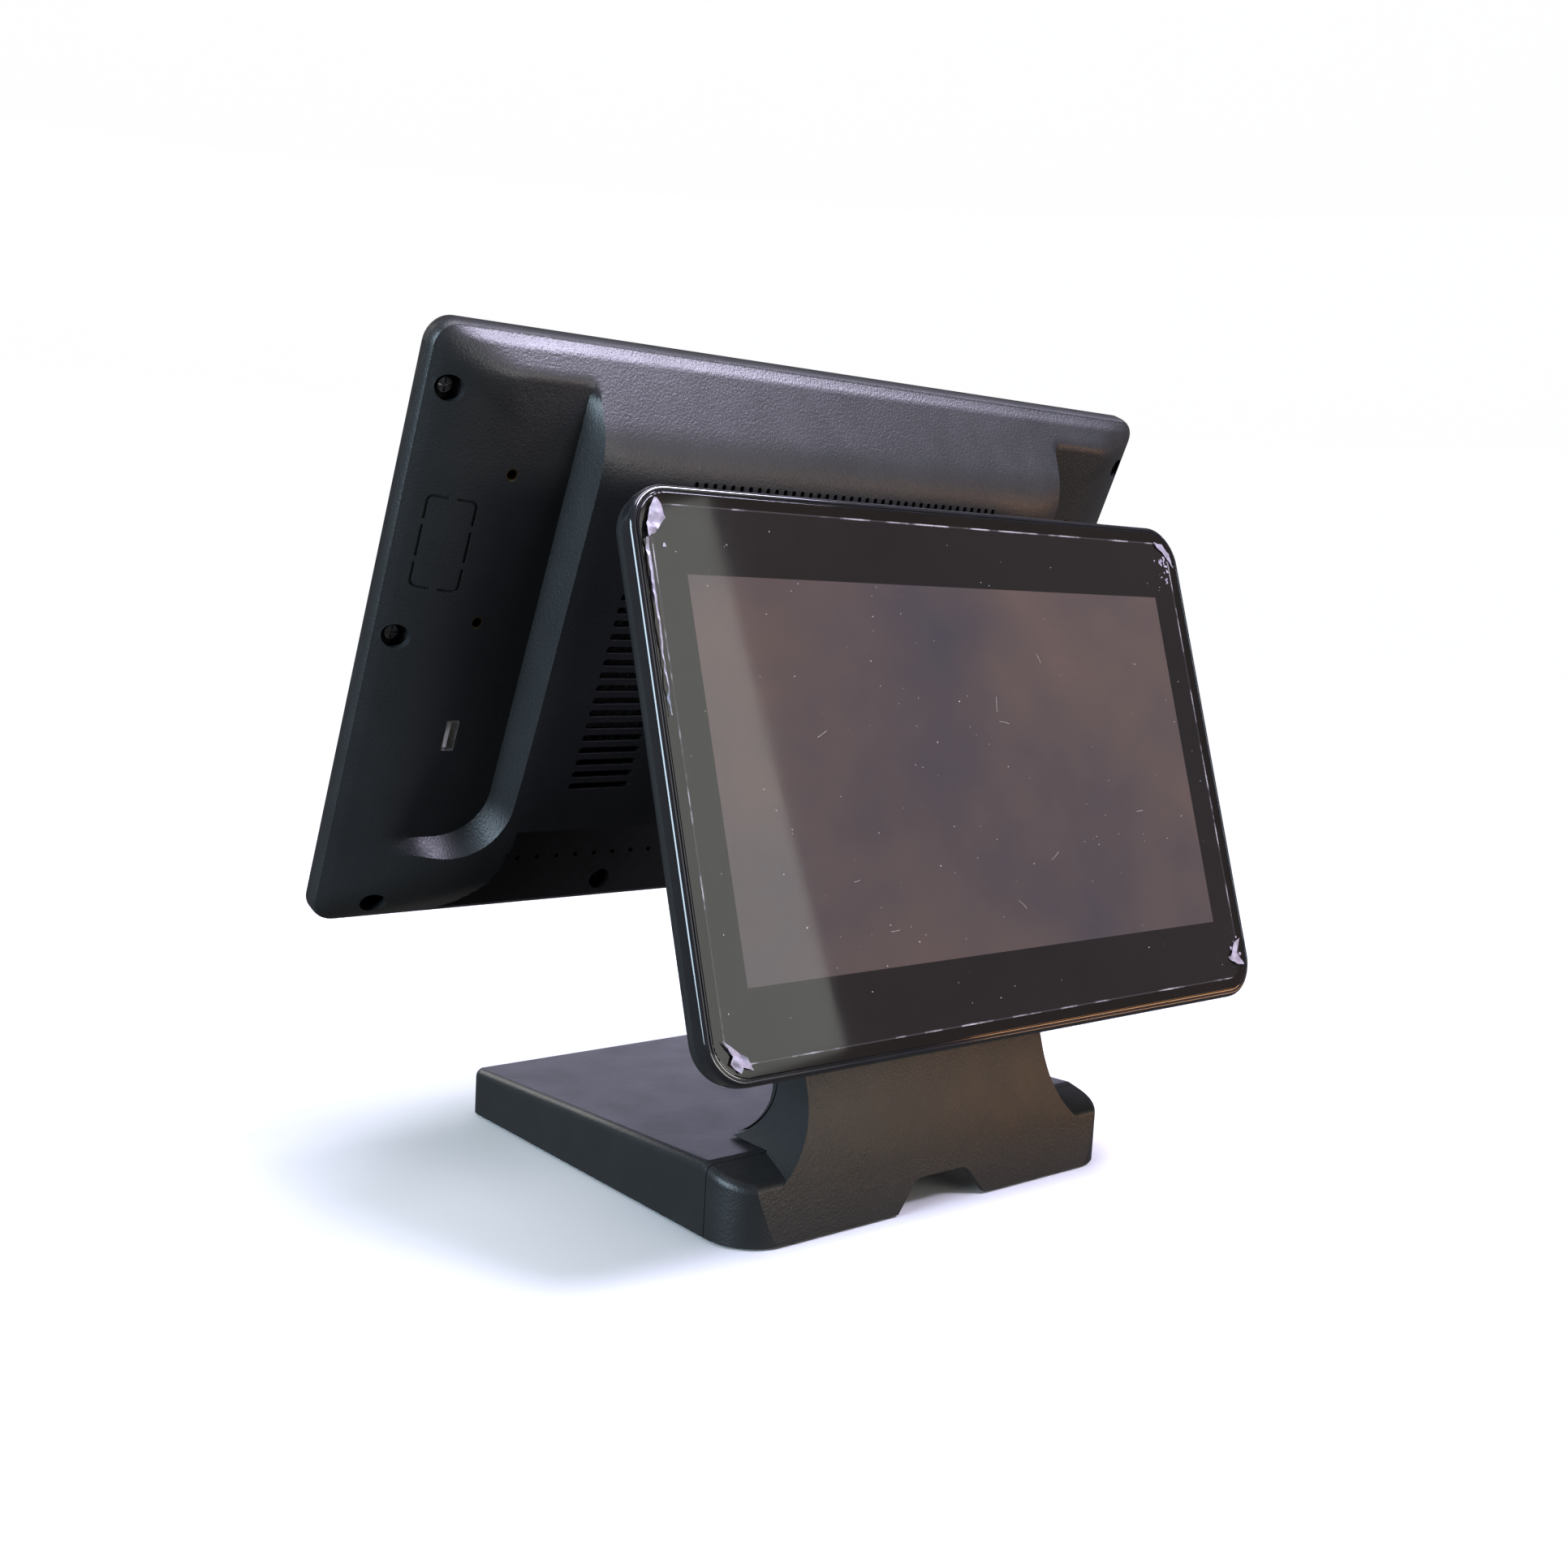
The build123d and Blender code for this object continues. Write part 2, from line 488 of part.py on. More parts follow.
def build_column_hinges():
    """Fixed halves of both hinges, with their pins, washers and nuts."""
    half = FRAME_THICKNESS / 2
    front_face = -half - BRACKET_THICKNESS
    bracket = block(-34, 34, 110, MAIN_AXIS_ALONG + 1, front_face, -half)
    bracket = bracket + mirrored(hinge_ear(MAIN_EAR_X, MAIN_AXIS_ALONG, main_out, -half - 1,
                                           HINGE_EAR_RADIUS, HINGE_PIN_RADIUS, 7.0))
    for x, along in MAIN_BRACKET_BOLTS:
        bracket = bracket - post(x, along, -8, 0, RIVET_RADIUS)
    add("main_hinge_bracket", bracket, column_frame)
    rivets = [rivet(x, along, front_face, half) for x, along in MAIN_BRACKET_BOLTS]
    axis_y, axis_z = main_axis.Y, main_axis.Z
    end = MAIN_LUG_X[1] + SHAFT_OVERHANG
    shaft = cross_rod(axis_y, axis_z, -end, end, HINGE_PIN_RADIUS)
    add("main_hinge_shaft", chamfer(shaft.edges().group_by(Axis.X)[0]
                                    + shaft.edges().group_by(Axis.X)[-1], 0.8))
    bore = HINGE_PIN_RADIUS
    inner = cross_rod(axis_y, axis_z, MAIN_EAR_X[1], MAIN_EAR_X[1] + WASHER_THICKNESS, WASHER_RADIUS)
    inner = inner - cross_rod(axis_y, axis_z, 0, 60, bore)
    nut_seat = MAIN_LUG_X[1] + 0.5 + WASHER_THICKNESS
    outer = cross_rod(axis_y, axis_z, nut_seat - WASHER_THICKNESS, nut_seat, WASHER_RADIUS)
    outer = outer - cross_rod(axis_y, axis_z, 0, 60, bore)
    add("hinge_friction_washers", group([inner, mirror(inner, about=Plane.YZ),
                                         outer, mirror(outer, about=Plane.YZ)]))
    nut = extrude(Plane.YZ.offset(nut_seat) * Pos(axis_y, axis_z) * RegularPolygon(NUT_RADIUS, 6),
                  amount=5.0)
    nut = nut - cross_rod(axis_y, axis_z, 0, 60, bore)
    add("hinge_nuts", group([nut, mirror(nut, about=Plane.YZ)]))

    barrel = Pos(0, MAIN_AXIS_ALONG, main_out) * Rot(0, 90, 0) * Cylinder(BARREL_RADIUS,
                                                                    2 * MAIN_EAR_X[0] - 0.6)
    web = block(-MAIN_EAR_X[0] + 0.3, MAIN_EAR_X[0] - 0.3, MAIN_AXIS_ALONG - BARREL_RADIUS,
                MAIN_AXIS_ALONG + 7.0, main_out, main_out + BARREL_RADIUS + 1.5 * NOTCH_CLEARANCE)
    core = Pos(0, MAIN_AXIS_ALONG, main_out) * Rot(0, 90, 0) * Cylinder(HINGE_PIN_RADIUS + 0.4, 80)
    add("hinge_barrel_cover", barrel + web - core, column_frame)

    rear_face = half + BRACKET_THICKNESS
    support = block(-35, 35, 86, 112, half, rear_face)
    support = support + mirrored(hinge_ear(CUSTOMER_EAR_X, CUSTOMER_AXIS_ALONG, customer_out, half + 1,
                                           CUSTOMER_EAR_RADIUS, CUSTOMER_PIN_RADIUS, 7.0))
    for x, along in CUSTOMER_BRACKET_BOLTS:
        support = support - post(x, along, 0, 8, RIVET_RADIUS)
    add("customer_hinge_bracket", support, column_frame)
    rivets += [rivet(x, along, rear_face, -half) for x, along in CUSTOMER_BRACKET_BOLTS]
    add("bracket_rivets", group(rivets), column_frame)
    end = CUSTOMER_LUG_X[1] + 4.0
    pin = cross_rod(customer_axis.Y, customer_axis.Z, -end, end, CUSTOMER_PIN_RADIUS)
    groove = cross_rod(customer_axis.Y, customer_axis.Z, CUSTOMER_LUG_X[1] + 0.8,
                       CUSTOMER_LUG_X[1] + 2.0, 6)
    groove = groove - cross_rod(customer_axis.Y, customer_axis.Z, 0, 60, 3.2)
    add("customer_hinge_pin", pin - mirrored(groove))
    clip = cross_rod(customer_axis.Y, customer_axis.Z, CUSTOMER_LUG_X[1] + 0.8,
                     CUSTOMER_LUG_X[1] + 2.0, 6.5)
    clip = clip - cross_rod(customer_axis.Y, customer_axis.Z, 0, 60, 3.2)
    clip = clip - block(0, 60, customer_axis.Y - 2.2, customer_axis.Y + 2.2,
                        customer_axis.Z - 12, customer_axis.Z)
    add("pin_clips", group([clip, mirror(clip, about=Plane.YZ)]))
    sleeve_end = customer_out - CUSTOMER_EAR_RADIUS - 2.0
    sleeve = plate(54, 38, 4, COLUMN_THICKNESS / 2, sleeve_end, centre=(0, CUSTOMER_AXIS_ALONG))
    cavity = plate(2 * CUSTOMER_EAR_X[1] + 1, 20, 1, 0, REACH, centre=(0, CUSTOMER_AXIS_ALONG))
    add("customer_bracket_sleeve", sleeve - cavity, column_frame)


def rivet(x, along, head_face, tail_face):
    """Short rivet through a hinge bracket and the column frame."""
    direction = 1 if head_face > tail_face else -1
    low, high = sorted((head_face, tail_face))
    head = post(x, along, *sorted((head_face, head_face + direction * 1.6)), 3.6)
    tail = post(x, along, *sorted((tail_face, tail_face - direction * 1.6)), 3.2)
    return head + tail + post(x, along, low, high, RIVET_RADIUS)


# ---------------------------------------------------------------- operator display
def rear_body(inset):
    """Outer body of the rear cover, shrunk by `inset`: rim, sloping sides and raised middle."""
    middle_v = (BACK_TOP + BACK_BOTTOM) / 2
    back_height = BACK_TOP - BACK_BOTTOM
    width, height = MAIN_WIDTH - 2 * inset, MAIN_HEIGHT - 2 * inset
    corner = MAIN_CORNER - inset
    slope_width, slope_height = 2 * (BACK_HALF_WIDTH - inset), back_height - 2 * inset
    rim = extrude(RectangleRounded(width, height, corner), amount=-RIM_DEPTH)
    shoulder = Pos(0, 0, -RIM_DEPTH) * RectangleRounded(width, height, corner)
    back = Pos(0, middle_v, -BACK_DEPTH + inset) * RectangleRounded(slope_width, slope_height, 14.0)
    return rim + loft([shoulder, back], ruled=True)


def wings(inset):
    """Space over the two lowered wings, grown by `inset`."""
    return mirrored(block(WING_INNER - inset, REACH, WING_BOTTOM - inset, WING_TOP + inset,
                          -REACH, -WING_DEPTH + inset))


def bay(inset):
    """Space of the connector bay under the raised middle, grown by `inset`."""
    half = BAY_HALF_WIDTH + inset
    return block(-half, half, -REACH, BAY_TOP + inset, -REACH, -BAY_DEPTH + inset)


def knockout_lines():
    """Broken outline of the break-out panel on one wing."""
    u, v, width, height = KNOCKOUT
    low, high = -WING_DEPTH - 1, -WING_DEPTH + WALL + 1
    ring = plate(width, height, 2.5, low, high, centre=(u, v))
    ring = ring - plate(width - 2 * KNOCKOUT_LINE, height - 2 * KNOCKOUT_LINE, 1.6, low, high,
                        centre=(u, v))
    half = KNOCKOUT_BRIDGE / 2
    ring = ring - block(u - half, u + half, v - height, v + height, low, high)
    for bridge_v in (v - height / 5, v + height / 5):
        ring = ring - block(u - width, u + width, bridge_v - half, bridge_v + half, low, high)
    return ring


def vent_slots():
    """Side and top ventilation slots of the rear cover."""
    u0, v0 = VENT_SIDE_START
    long, high = VENT_SIDE_SIZE
    low, top = -BACK_DEPTH - 1, -BACK_DEPTH + WALL + 1
    slots = []
    for i in range(VENT_SIDE_COUNT):
        v = v0 + i * VENT_SIDE_PITCH
        for side in (-1, 1):
            u = side * (u0 + long / 2)
            slots.append(plate(long, high, high / 2 - 0.01, low, top, centre=(u, v)))
    across, down = VENT_TOP_SIZE
    for i in range(VENT_TOP_COUNT):
        u = (i - (VENT_TOP_COUNT - 1) / 2) * VENT_TOP_PITCH
        slots.append(plate(across, down, across / 2 - 0.01, low, top, centre=(u, VENT_TOP_V)))
    return slots


def build_front_stack():
    """Bezel, glass, tape, panel module and sheet-metal chassis."""
    glass_low = MAIN_BEZEL_DEPTH - MAIN_GLASS_THICKNESS
    tape_low = glass_low - MAIN_TAPE
    glass_width = MAIN_WIDTH - 2 * MAIN_GLASS_INSET
    glass_height = MAIN_HEIGHT - 2 * MAIN_GLASS_INSET
    glass_corner = MAIN_CORNER - MAIN_GLASS_INSET
    bezel = plate(MAIN_WIDTH, MAIN_HEIGHT, MAIN_CORNER, 0, MAIN_BEZEL_DEPTH)
    bezel = fillet(bezel.edges().group_by(Axis.Z)[-1], 1.2)
    pocket = plate(glass_width + 0.4, glass_height + 0.4, glass_corner + 0.2, tape_low, 20)
    bezel = bezel - pocket - plate(*MAIN_WINDOW, 1.0, -1, 20)
    for u, v in COVER_SCREWS:
        bezel = bezel - post(u, v, -1, 1.8, SCREW_RADIUS)
    for u, v in chassis_screws:
        bezel = bezel + post(u, v, chassis_front, 0.5, 3.0)
        bezel = bezel - post(u, v, chassis_front - 1, 1.8, SCREW_RADIUS)
    add("main_bezel", bezel, main_frame)
    add("main_touch_glass", chamfer(plate(glass_width, glass_height, glass_corner, glass_low,
                                          MAIN_BEZEL_DEPTH).edges().group_by(Axis.Z)[-1], 0.3),
        main_frame)
    tape = plate(glass_width - 1, glass_height - 1, glass_corner, tape_low, glass_low)
    tape = tape - plate(MAIN_WINDOW[0] + 8, MAIN_WINDOW[1] + 8, 1, -5, 20)
    add("main_glass_tape", tape, main_frame)
    add("main_lcd_panel", plate(*LCD_SIZE, 1.5, -LCD_THICKNESS, 0), main_frame)

    chassis = plate(*CHASSIS_SIZE, 6, chassis_rear, chassis_front)
    for u, v in COVER_SCREWS:
        chassis = chassis - post(u, v, -10, 5, 8.0)
    for u, v in chassis_screws:
        chassis = chassis - post(u, v, -10, 5, SCREW_RADIUS)
    chassis = chassis - plate(60, 10, 4, -10, 5, centre=(0, 92))
    add("main_chassis", chassis, main_frame)


def build_rear_cover():
    """Moulded rear cover with its wings, vents, connector bay and screw seats."""
    outer = rear_body(0) - wings(0) - bay(0)
    cavity = (rear_body(WALL) - wings(WALL) - bay(WALL)) + plate(
        MAIN_WIDTH - 2 * WALL, MAIN_HEIGHT - 2 * WALL, MAIN_CORNER - WALL, -RIM_DEPTH / 2, 1)
    cover = outer - cavity
    for u, v in COVER_SCREWS:
        cover = cover + (post(u, v, -BACK_DEPTH, -0.4, 6.5) & outer)
    for u, v in COVER_SCREWS:
        cover = cover - post(u, v, -REACH, SCREW_SEAT, COUNTERBORE_RADIUS)
        cover = cover - post(u, v, -REACH, 1, SCREW_RADIUS)
    insert_end = -WING_DEPTH + INSERT_LENGTH
    for side in (-1, 1):
        for v in ACCESSORY_V:
            u = side * ACCESSORY_U
            cover = cover + post(u, v, -WING_DEPTH, insert_end, INSERT_RADIUS + 1.6)
            cover = cover - post(u, v, -WING_DEPTH - 1, insert_end + 1, INSERT_RADIUS)
    cover = cover - group(vent_slots()) - knockout_lines()
    usb_u, usb_v = USB_PLACE
    usb_w, usb_h = USB_SIZE
    cover = cover - block(usb_u - usb_w / 2 - 0.2, usb_u + usb_w / 2 + 0.2, usb_v - usb_h / 2 - 0.2,
                          usb_v + usb_h / 2 + 0.2, -WING_DEPTH - 1, -WING_DEPTH + 5)
    button_u, button_v = BUTTON_PLACE
    cover = cover - post(button_u, button_v, -WING_DEPTH - 1, -WING_DEPTH + 5,
                         BUTTON_RADIUS + BUTTON_GAP)
    for u, v in HINGE_POSTS:
        cover = cover - post(u, v, -BACK_DEPTH - 1, -BACK_DEPTH + 5, POST_RADIUS + 0.2)
    for low_u, high_u, low_w, high_w in ports().values():
        cover = cover - block(low_u - 0.3, high_u + 0.3, BAY_TOP - 1, BAY_TOP + 5,
                              low_w - 0.3, high_w + 0.3)
    for i in range(SPEAKER_HOLES):
        u = (i - (SPEAKER_HOLES - 1) / 2) * SPEAKER_HOLE_PITCH
        for side in (-1, 1):
            cover = cover - post(side * SPEAKER_PLACE[0] + u, SPEAKER_PLACE[1], -20, -1, 1.1)
    add("main_rear_cover", cover, main_frame)
    add("rear_cover_screws", group(screw(u, v, SCREW_SEAT, 1.8, 1.8) for u, v in COVER_SCREWS),
        main_frame)
    inserts = []
    for side in (-1, 1):
        for v in ACCESSORY_V:
            ring = post(side * ACCESSORY_U, v, -WING_DEPTH + 0.3, insert_end, INSERT_RADIUS)
            inserts.append(ring - post(side * ACCESSORY_U, v, -WING_DEPTH - 1, insert_end + 1,
                                       INSERT_BORE))
    add("accessory_inserts", group(inserts), main_frame)


def ports():
    """Connectors in the bay: u from and to, w from and to."""
    places = {}
    for name, (low_u, high_u) in PORT_PITCH.items():
        low_w, high_w = port_low, board_rear
        if name in ("video_port", "serial_port"):
            low_w = port_low + 0.7
        if name == "power_inlet":
            high_w = low_w + high_u - low_u
        places[name] = (low_u, high_u, low_w, high_w)
    return places


def build_electronics():
    """Board, processor cooling, memory, drive, speakers and the connectors of the bay."""
    u0, u1, v0, v1 = BOARD
    board = block(u0, u1, v0, v1, board_rear, board_front)
    for u, v in HINGE_POSTS:
        board = board - post(u, v, -60, 0, POST_RADIUS + 1.5)
    for u, v in BOARD_HOLES:
        board = board - post(u, v, -60, 0, SCREW_RADIUS)
    socket = block(-28, 2, -17.5, -12.0, board_rear - 5.0, board_front - 0.5)
    add("mainboard", board + socket, main_frame)
    standoffs = [post(u, v, board_front, chassis_rear, 3.0) - post(u, v, -60, 0, SCREW_RADIUS)
                 for u, v in BOARD_HOLES]
    add("board_standoffs", group(standoffs), main_frame)
    screws = [screw(u, v, board_rear, chassis_rear - 1, 1.8) for u, v in BOARD_HOLES]
    screws += [screw(u, v, chassis_rear, 1.8, 1.2) for u, v in chassis_screws]
    add("machine_screws", group(screws), main_frame)
    chip_rear = board_rear - 1.6
    add("processor", block(68, 98, -12, 18, chip_rear, board_rear), main_frame)
    sink_base = chip_rear - 3.0
    sink = block(55, 111, -32, 38, sink_base, chip_rear)
    for i in range(SINK_FINS):
        u = 56.5 + i * SINK_FIN_PITCH
        sink = sink + block(u - 0.7, u + 0.7, -32, 38, -BACK_DEPTH + WALL + 2.0, sink_base)
    add("heat_sink", sink, main_frame)
    module = block(-28, 2, -12, 56, board_rear - 3.6, board_rear - 2.4)
    add("memory_module", module, main_frame)
    drive = plate(70, 100, 2, chassis_rear - 7, chassis_rear, centre=(-86, 5))
    add("ssd_drive", fillet(drive.edges().group_by(Axis.Z)[0], 0.8), main_frame)
    speaker = plate(30, 14, 3, chassis_rear - 6, chassis_rear, centre=(142, -95))
    add("speakers", group([speaker, mirror(speaker, about=Plane.YZ)]), main_frame)
    for name, (low_u, high_u, low_w, top) in ports().items():
        shell = block(low_u, high_u, BAY_TOP, BAY_TOP + PORT_LENGTH, low_w, top)
        middle_u, middle_w = (low_u + high_u) / 2, (low_w + top) / 2
        if name == "power_inlet":
            mouth = Pos(middle_u, BAY_TOP + 5, middle_w) * Rot(90, 0, 0) * Cylinder(3.2, 12)
            pin = Pos(middle_u, BAY_TOP + 6, middle_w) * Rot(90, 0, 0) * Cylinder(1.0, 10.5)
            shell = shell - mouth + pin
        elif name == "lan_jack":
            shell = shell - block(low_u + 2.2, high_u - 2.2, BAY_TOP - 1, BAY_TOP + 12,
                                  low_w + 2.2, top - 3.0)
        elif name == "usb_stack":
            tall = (top - low_w) / 2 - 1.7
            for low in (low_w + 1.0, middle_w + 0.6):
                slot = block(low_u + 1.2, high_u - 1.2, BAY_TOP - 1, BAY_TOP + 12, low, low + tall)
                tongue = block(low_u + 2.2, high_u - 2.2, BAY_TOP + 1, BAY_TOP + 12.2,
                               low + 0.7, low + 2.3)
                shell = shell - slot + tongue
        else:
            face = plate(high_u - low_u - 8, top - low_w - 3.5, 2.4, -1, 7,
                         centre=(middle_u, middle_w))
            hollow = Pos(0, BAY_TOP, 0) * Rot(-90, 0, 0) * mirror(face, about=Plane.XZ)
            shell = shell - hollow
        add(name, shell, main_frame)


def build_side_usb():
    """Side USB socket: bent metal shell, plastic tongue and its little board."""
    u, v = USB_PLACE
    width, height = USB_SIZE
    low, high = -WING_DEPTH + 0.2, -WING_DEPTH + USB_DEPTH - 3.0
    shell = plate(width, height, 0.6, low, high, centre=(u, v))
    inside = plate(width - 0.7, height - 0.7, 0.4, low - 1, high - 0.6, centre=(u, v))
    add("side_usb_shell", shell - inside, main_frame)
    tongue = block(u + 0.2, u + 2.0, v - 5.6, v + 5.6, low + 1.0, high - 0.6)
    add("side_usb_tongue", tongue, main_frame)
    return block(u - 8, u + 8, v - 12, v + 12, high, high + 1.2)


def build_main_hinge():
    """Moving half of the operator display's hinge."""
    plate_front = -BACK_DEPTH
    plate_rear = plate_front - 3.0
    axis_w = -(BACK_DEPTH + MAIN_AXIS_BEHIND)
    arm = plate(*HINGE_ARM_SIZE, 6, plate_rear, plate_front, centre=(0, MAIN_AXIS_V))
    ear = hinge_ear(MAIN_LUG_X, MAIN_AXIS_V, axis_w, plate_rear + 1, HINGE_EAR_RADIUS,
                    HINGE_PIN_RADIUS + HINGE_PLAY, 9.5)
    arm = arm + mirrored(ear)
    posts, screws = [], []
    for u, v in HINGE_POSTS:
        arm = arm - post(u, v, -60, 0, 2.2)
        posts.append(post(u, v, plate_front, chassis_rear, POST_RADIUS) - post(u, v, -60, 0, 2.2))
        head = post(u, v, plate_rear - 2.4, plate_rear, 4.0)
        socket = extrude(Pos(u, v, plate_rear - 2.4) * RegularPolygon(1.7, 6), amount=1.4)
        screws.append(head + post(u, v, plate_rear, plate_front + 12, 2.2) - socket)
    add("main_hinge_arm", arm, main_frame)
    add("hinge_posts", group(posts), main_frame)
    add("hinge_arm_screws", group(screws), main_frame)
    shroud = plate(*SHROUD_SIZE, 12, plate_rear - 3.2, plate_front, centre=(0, MAIN_AXIS_V))
    shroud = fillet(shroud.edges().group_by(Axis.Z)[0], 2.4)
    hollow = plate(HINGE_ARM_SIZE[0] + 0.6, HINGE_ARM_SIZE[1] + 0.6, 6.3, plate_rear - 0.6,
                   plate_front + 1, centre=(0, MAIN_AXIS_V))
    slot = block(MAIN_LUG_X[0] - 0.3, MAIN_LUG_X[1] + 0.3, MAIN_AXIS_V - 9.8, MAIN_AXIS_V + 9.8,
                 -60, plate_rear + 1)
    shroud = shroud - hollow - mirrored(slot)
    clear = Pos(0, MAIN_AXIS_V, axis_w) * Rot(0, 90, 0) * Cylinder(BARREL_RADIUS + 2.0,
                                                                  2 * MAIN_EAR_X[1] + 2.0)
    for u, v in HINGE_POSTS:
        shroud = shroud - post(u, v, -60, plate_rear + 1, 4.3)
    add("hinge_shroud", shroud - clear, main_frame)


def build_power_button():
    """Push button on the far wing and the switch behind it."""
    u, v = BUTTON_PLACE
    face = -WING_DEPTH - BUTTON_PROUD
    cap = fillet(post(u, v, face, -WING_DEPTH + 0.6, BUTTON_RADIUS).edges().group_by(Axis.Z)[0], 0.8)
    flange_rear = -WING_DEPTH + WALL + 0.3
    cap = cap + post(u, v, -WING_DEPTH + 0.5, flange_rear + 1.2, BUTTON_RADIUS)
    cap = cap + post(u, v, flange_rear, flange_rear + 1.2, BUTTON_RADIUS + 1.6)
    add("power_button", cap, main_frame)
    switch_rear = flange_rear + 1.2 + BUTTON_TRAVEL + 0.4
    switch = block(u - 3, u + 3, v - 3, v + 3, switch_rear, switch_rear + 2.4)
    board = block(u - 10, u + 10, v - 8, v + 8, switch_rear + 2.4, switch_rear + 3.6)
    add("power_switch", switch, main_frame)
    return board


# ---------------------------------------------------------------- customer display
HOUSING_POSTS = [(u, v) for u in (-30.0, 30.0) for v in (-22.0, 14.0)]
CUSTOMER_SCREWS = [(u, v) for u in (-136.0, 136.0) for v in (-92.0, 92.0)]


def build_customer_display():
    """Rear housing, glossy rim, glass, film and what they hold."""
    width, height, corner = CUSTOMER_WIDTH, CUSTOMER_HEIGHT, CUSTOMER_CORNER
    rim_low = -CUSTOMER_RIM_DEPTH
    rim = plate(width, height, corner, rim_low, 0)
    rim = fillet(rim.edges().group_by(Axis.Z)[-1], 2.2)
    inset = CUSTOMER_GLASS_INSET
    glass_low = -CUSTOMER_GLASS_THICKNESS
    pocket = plate(width - 2 * inset + 0.5, height - 2 * inset + 0.5, corner - inset + 0.25,
                   glass_low, 10)
    window = plate(CUSTOMER_LCD[0] - 6, CUSTOMER_LCD[1] - 6, 2, -20, 10)
    rim = rim - pocket - window
    lcd_pocket = plate(CUSTOMER_LCD[0] + 0.6, CUSTOMER_LCD[1] + 0.6, 2, -20, glass_low - 1.2)
    rim = rim - lcd_pocket
    for u, v in CUSTOMER_SCREWS:
        rim = rim - post(u, v, -20, glass_low - 1.0, SCREW_RADIUS)
    add("customer_rim", rim, customer_frame)
    glass = plate(width - 2 * inset, height - 2 * inset, corner - inset, glass_low, 0)
    add("customer_glass", fillet(glass.edges().group_by(Axis.Z)[-1], 0.4), customer_frame)
    add("customer_lcd_panel", plate(*CUSTOMER_LCD, 1.5, glass_low - 4.4, glass_low - 1.2),
        customer_frame)
    film = plate(width - 2 * (inset + FILM_INSET), height - 2 * (inset + FILM_INSET),
                 corner - inset - FILM_INSET, 0, FILM_THICKNESS)
    add("protective_film", film, customer_frame)

    back = -CUSTOMER_DEPTH
    housing_high = rim_low - 0.3
    housing = plate(width - 1.6, height - 1.6, corner - 0.8, back, housing_high)
    housing = fillet(housing.edges().group_by(Axis.Z)[0], 5.0)
    hollow = plate(width - 1.6 - 2 * WALL, height - 1.6 - 2 * WALL, corner - 0.8 - WALL,
                   back + WALL, 10)
    hollow = fillet(hollow.edges().group_by(Axis.Z)[0], 3.0)
    shell = housing - hollow
    for u, v in CUSTOMER_SCREWS:
        shell = shell + post(u, v, back + 1.0, housing_high, 5.5)
    for u, v in CUSTOMER_SCREWS:
        shell = shell - post(u, v, back - 1, back + 3.6, 3.6) - post(u, v, -20, 5, SCREW_RADIUS)
    for u, v in HOUSING_POSTS:
        shell = shell - post(u, v, -20, -5, 2.0)
    board_low = back + WALL + 2.0
    for u in (-55, 55):
        for v in (-65, -35):
            shell = shell + post(u, v, back + WALL - 1, board_low, 2.5)
    for i in range(9):
        for side in (-1, 1):
            shell = shell - plate(2.0, 16, 0.99, back - 1, back + WALL + 1,
                                  centre=(side * (70.0 + 5.0 * i), 55))
    add("customer_housing", shell, customer_frame)
    add("customer_housing_screws", group(screw(u, v, back + 3.6, glass_low - 2.0, 1.6)
                                         for u, v in CUSTOMER_SCREWS), customer_frame)
    board = block(-60, 60, -70, -30, board_low, board_low + 1.4)
    add("customer_driver_board", board, customer_frame)

    plate_rear = back - 2.5
    axis_w = -(CUSTOMER_DEPTH + CUSTOMER_AXIS_BEHIND)
    arm = plate(78, 52, 5, plate_rear, back, centre=(0, CUSTOMER_AXIS_V))
    ear = hinge_ear(CUSTOMER_LUG_X, CUSTOMER_AXIS_V, axis_w, plate_rear + 1, CUSTOMER_EAR_RADIUS,
                    CUSTOMER_PIN_RADIUS + HINGE_PLAY, 8.5)
    arm = arm + mirrored(ear)
    nut_plate = plate(78, 52, 5, back + WALL, back + WALL + 1.5, centre=(0, CUSTOMER_AXIS_V))
    screws = []
    for u, v in HOUSING_POSTS:
        arm = arm - post(u, v, -60, 0, 2.0)
        nut_plate = nut_plate - post(u, v, -60, 0, 2.0)
        head = fillet(post(u, v, plate_rear - 2.0, plate_rear, 3.6).edges().group_by(Axis.Z)[0], 0.8)
        screws.append(head + post(u, v, plate_rear, back + WALL + 1.5, 2.0))
    add("customer_hinge_arm", arm, customer_frame)
    add("customer_arm_screws", group(screws), customer_frame)
    add("customer_nut_plate", nut_plate, customer_frame)


# ---------------------------------------------------------------- build and write
build_covers()
build_base_metal()
build_column_hinges()
build_front_stack()
build_rear_cover()
build_electronics()
build_main_hinge()
add("side_boards", group([build_side_usb(), build_power_button()]), main_frame)
build_customer_display()

# The origin goes under the middle of the terminal's own box.
boxes = [shape.bounding_box() for shape in nodes.values()]
origin_y = (min(box.min.Y for box in boxes) + max(box.max.Y for box in boxes)) / 2
os.makedirs("parts", exist_ok=True)
for name, shape in nodes.items():
    export_step(Pos(0, -origin_y, 0) * shape, f"parts/{name}.step")
for name, point in (("main tilt axis", main_axis), ("customer tilt axis", customer_axis)):
    print(name, "y", round(point.Y - origin_y, 4), "z", round(point.Z, 4))
print("pieces", len(nodes), "origin shift", round(origin_y, 4))
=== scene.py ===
# %% [markdown]
# # A two-sided point-of-sale terminal
# The fixed frame holds every plate, screw and hinge of the terminal. This lesson dresses it:
# the moulded rear cover is modelled again with its soft slopes, the customer display gets its
# glossy rim, glass and half-peeled protective film, and every piece gets a finish of its own.

# %% Load the frame
import json
import math
import random

import bmesh
import bpy
from mathutils import Matrix, Vector, noise


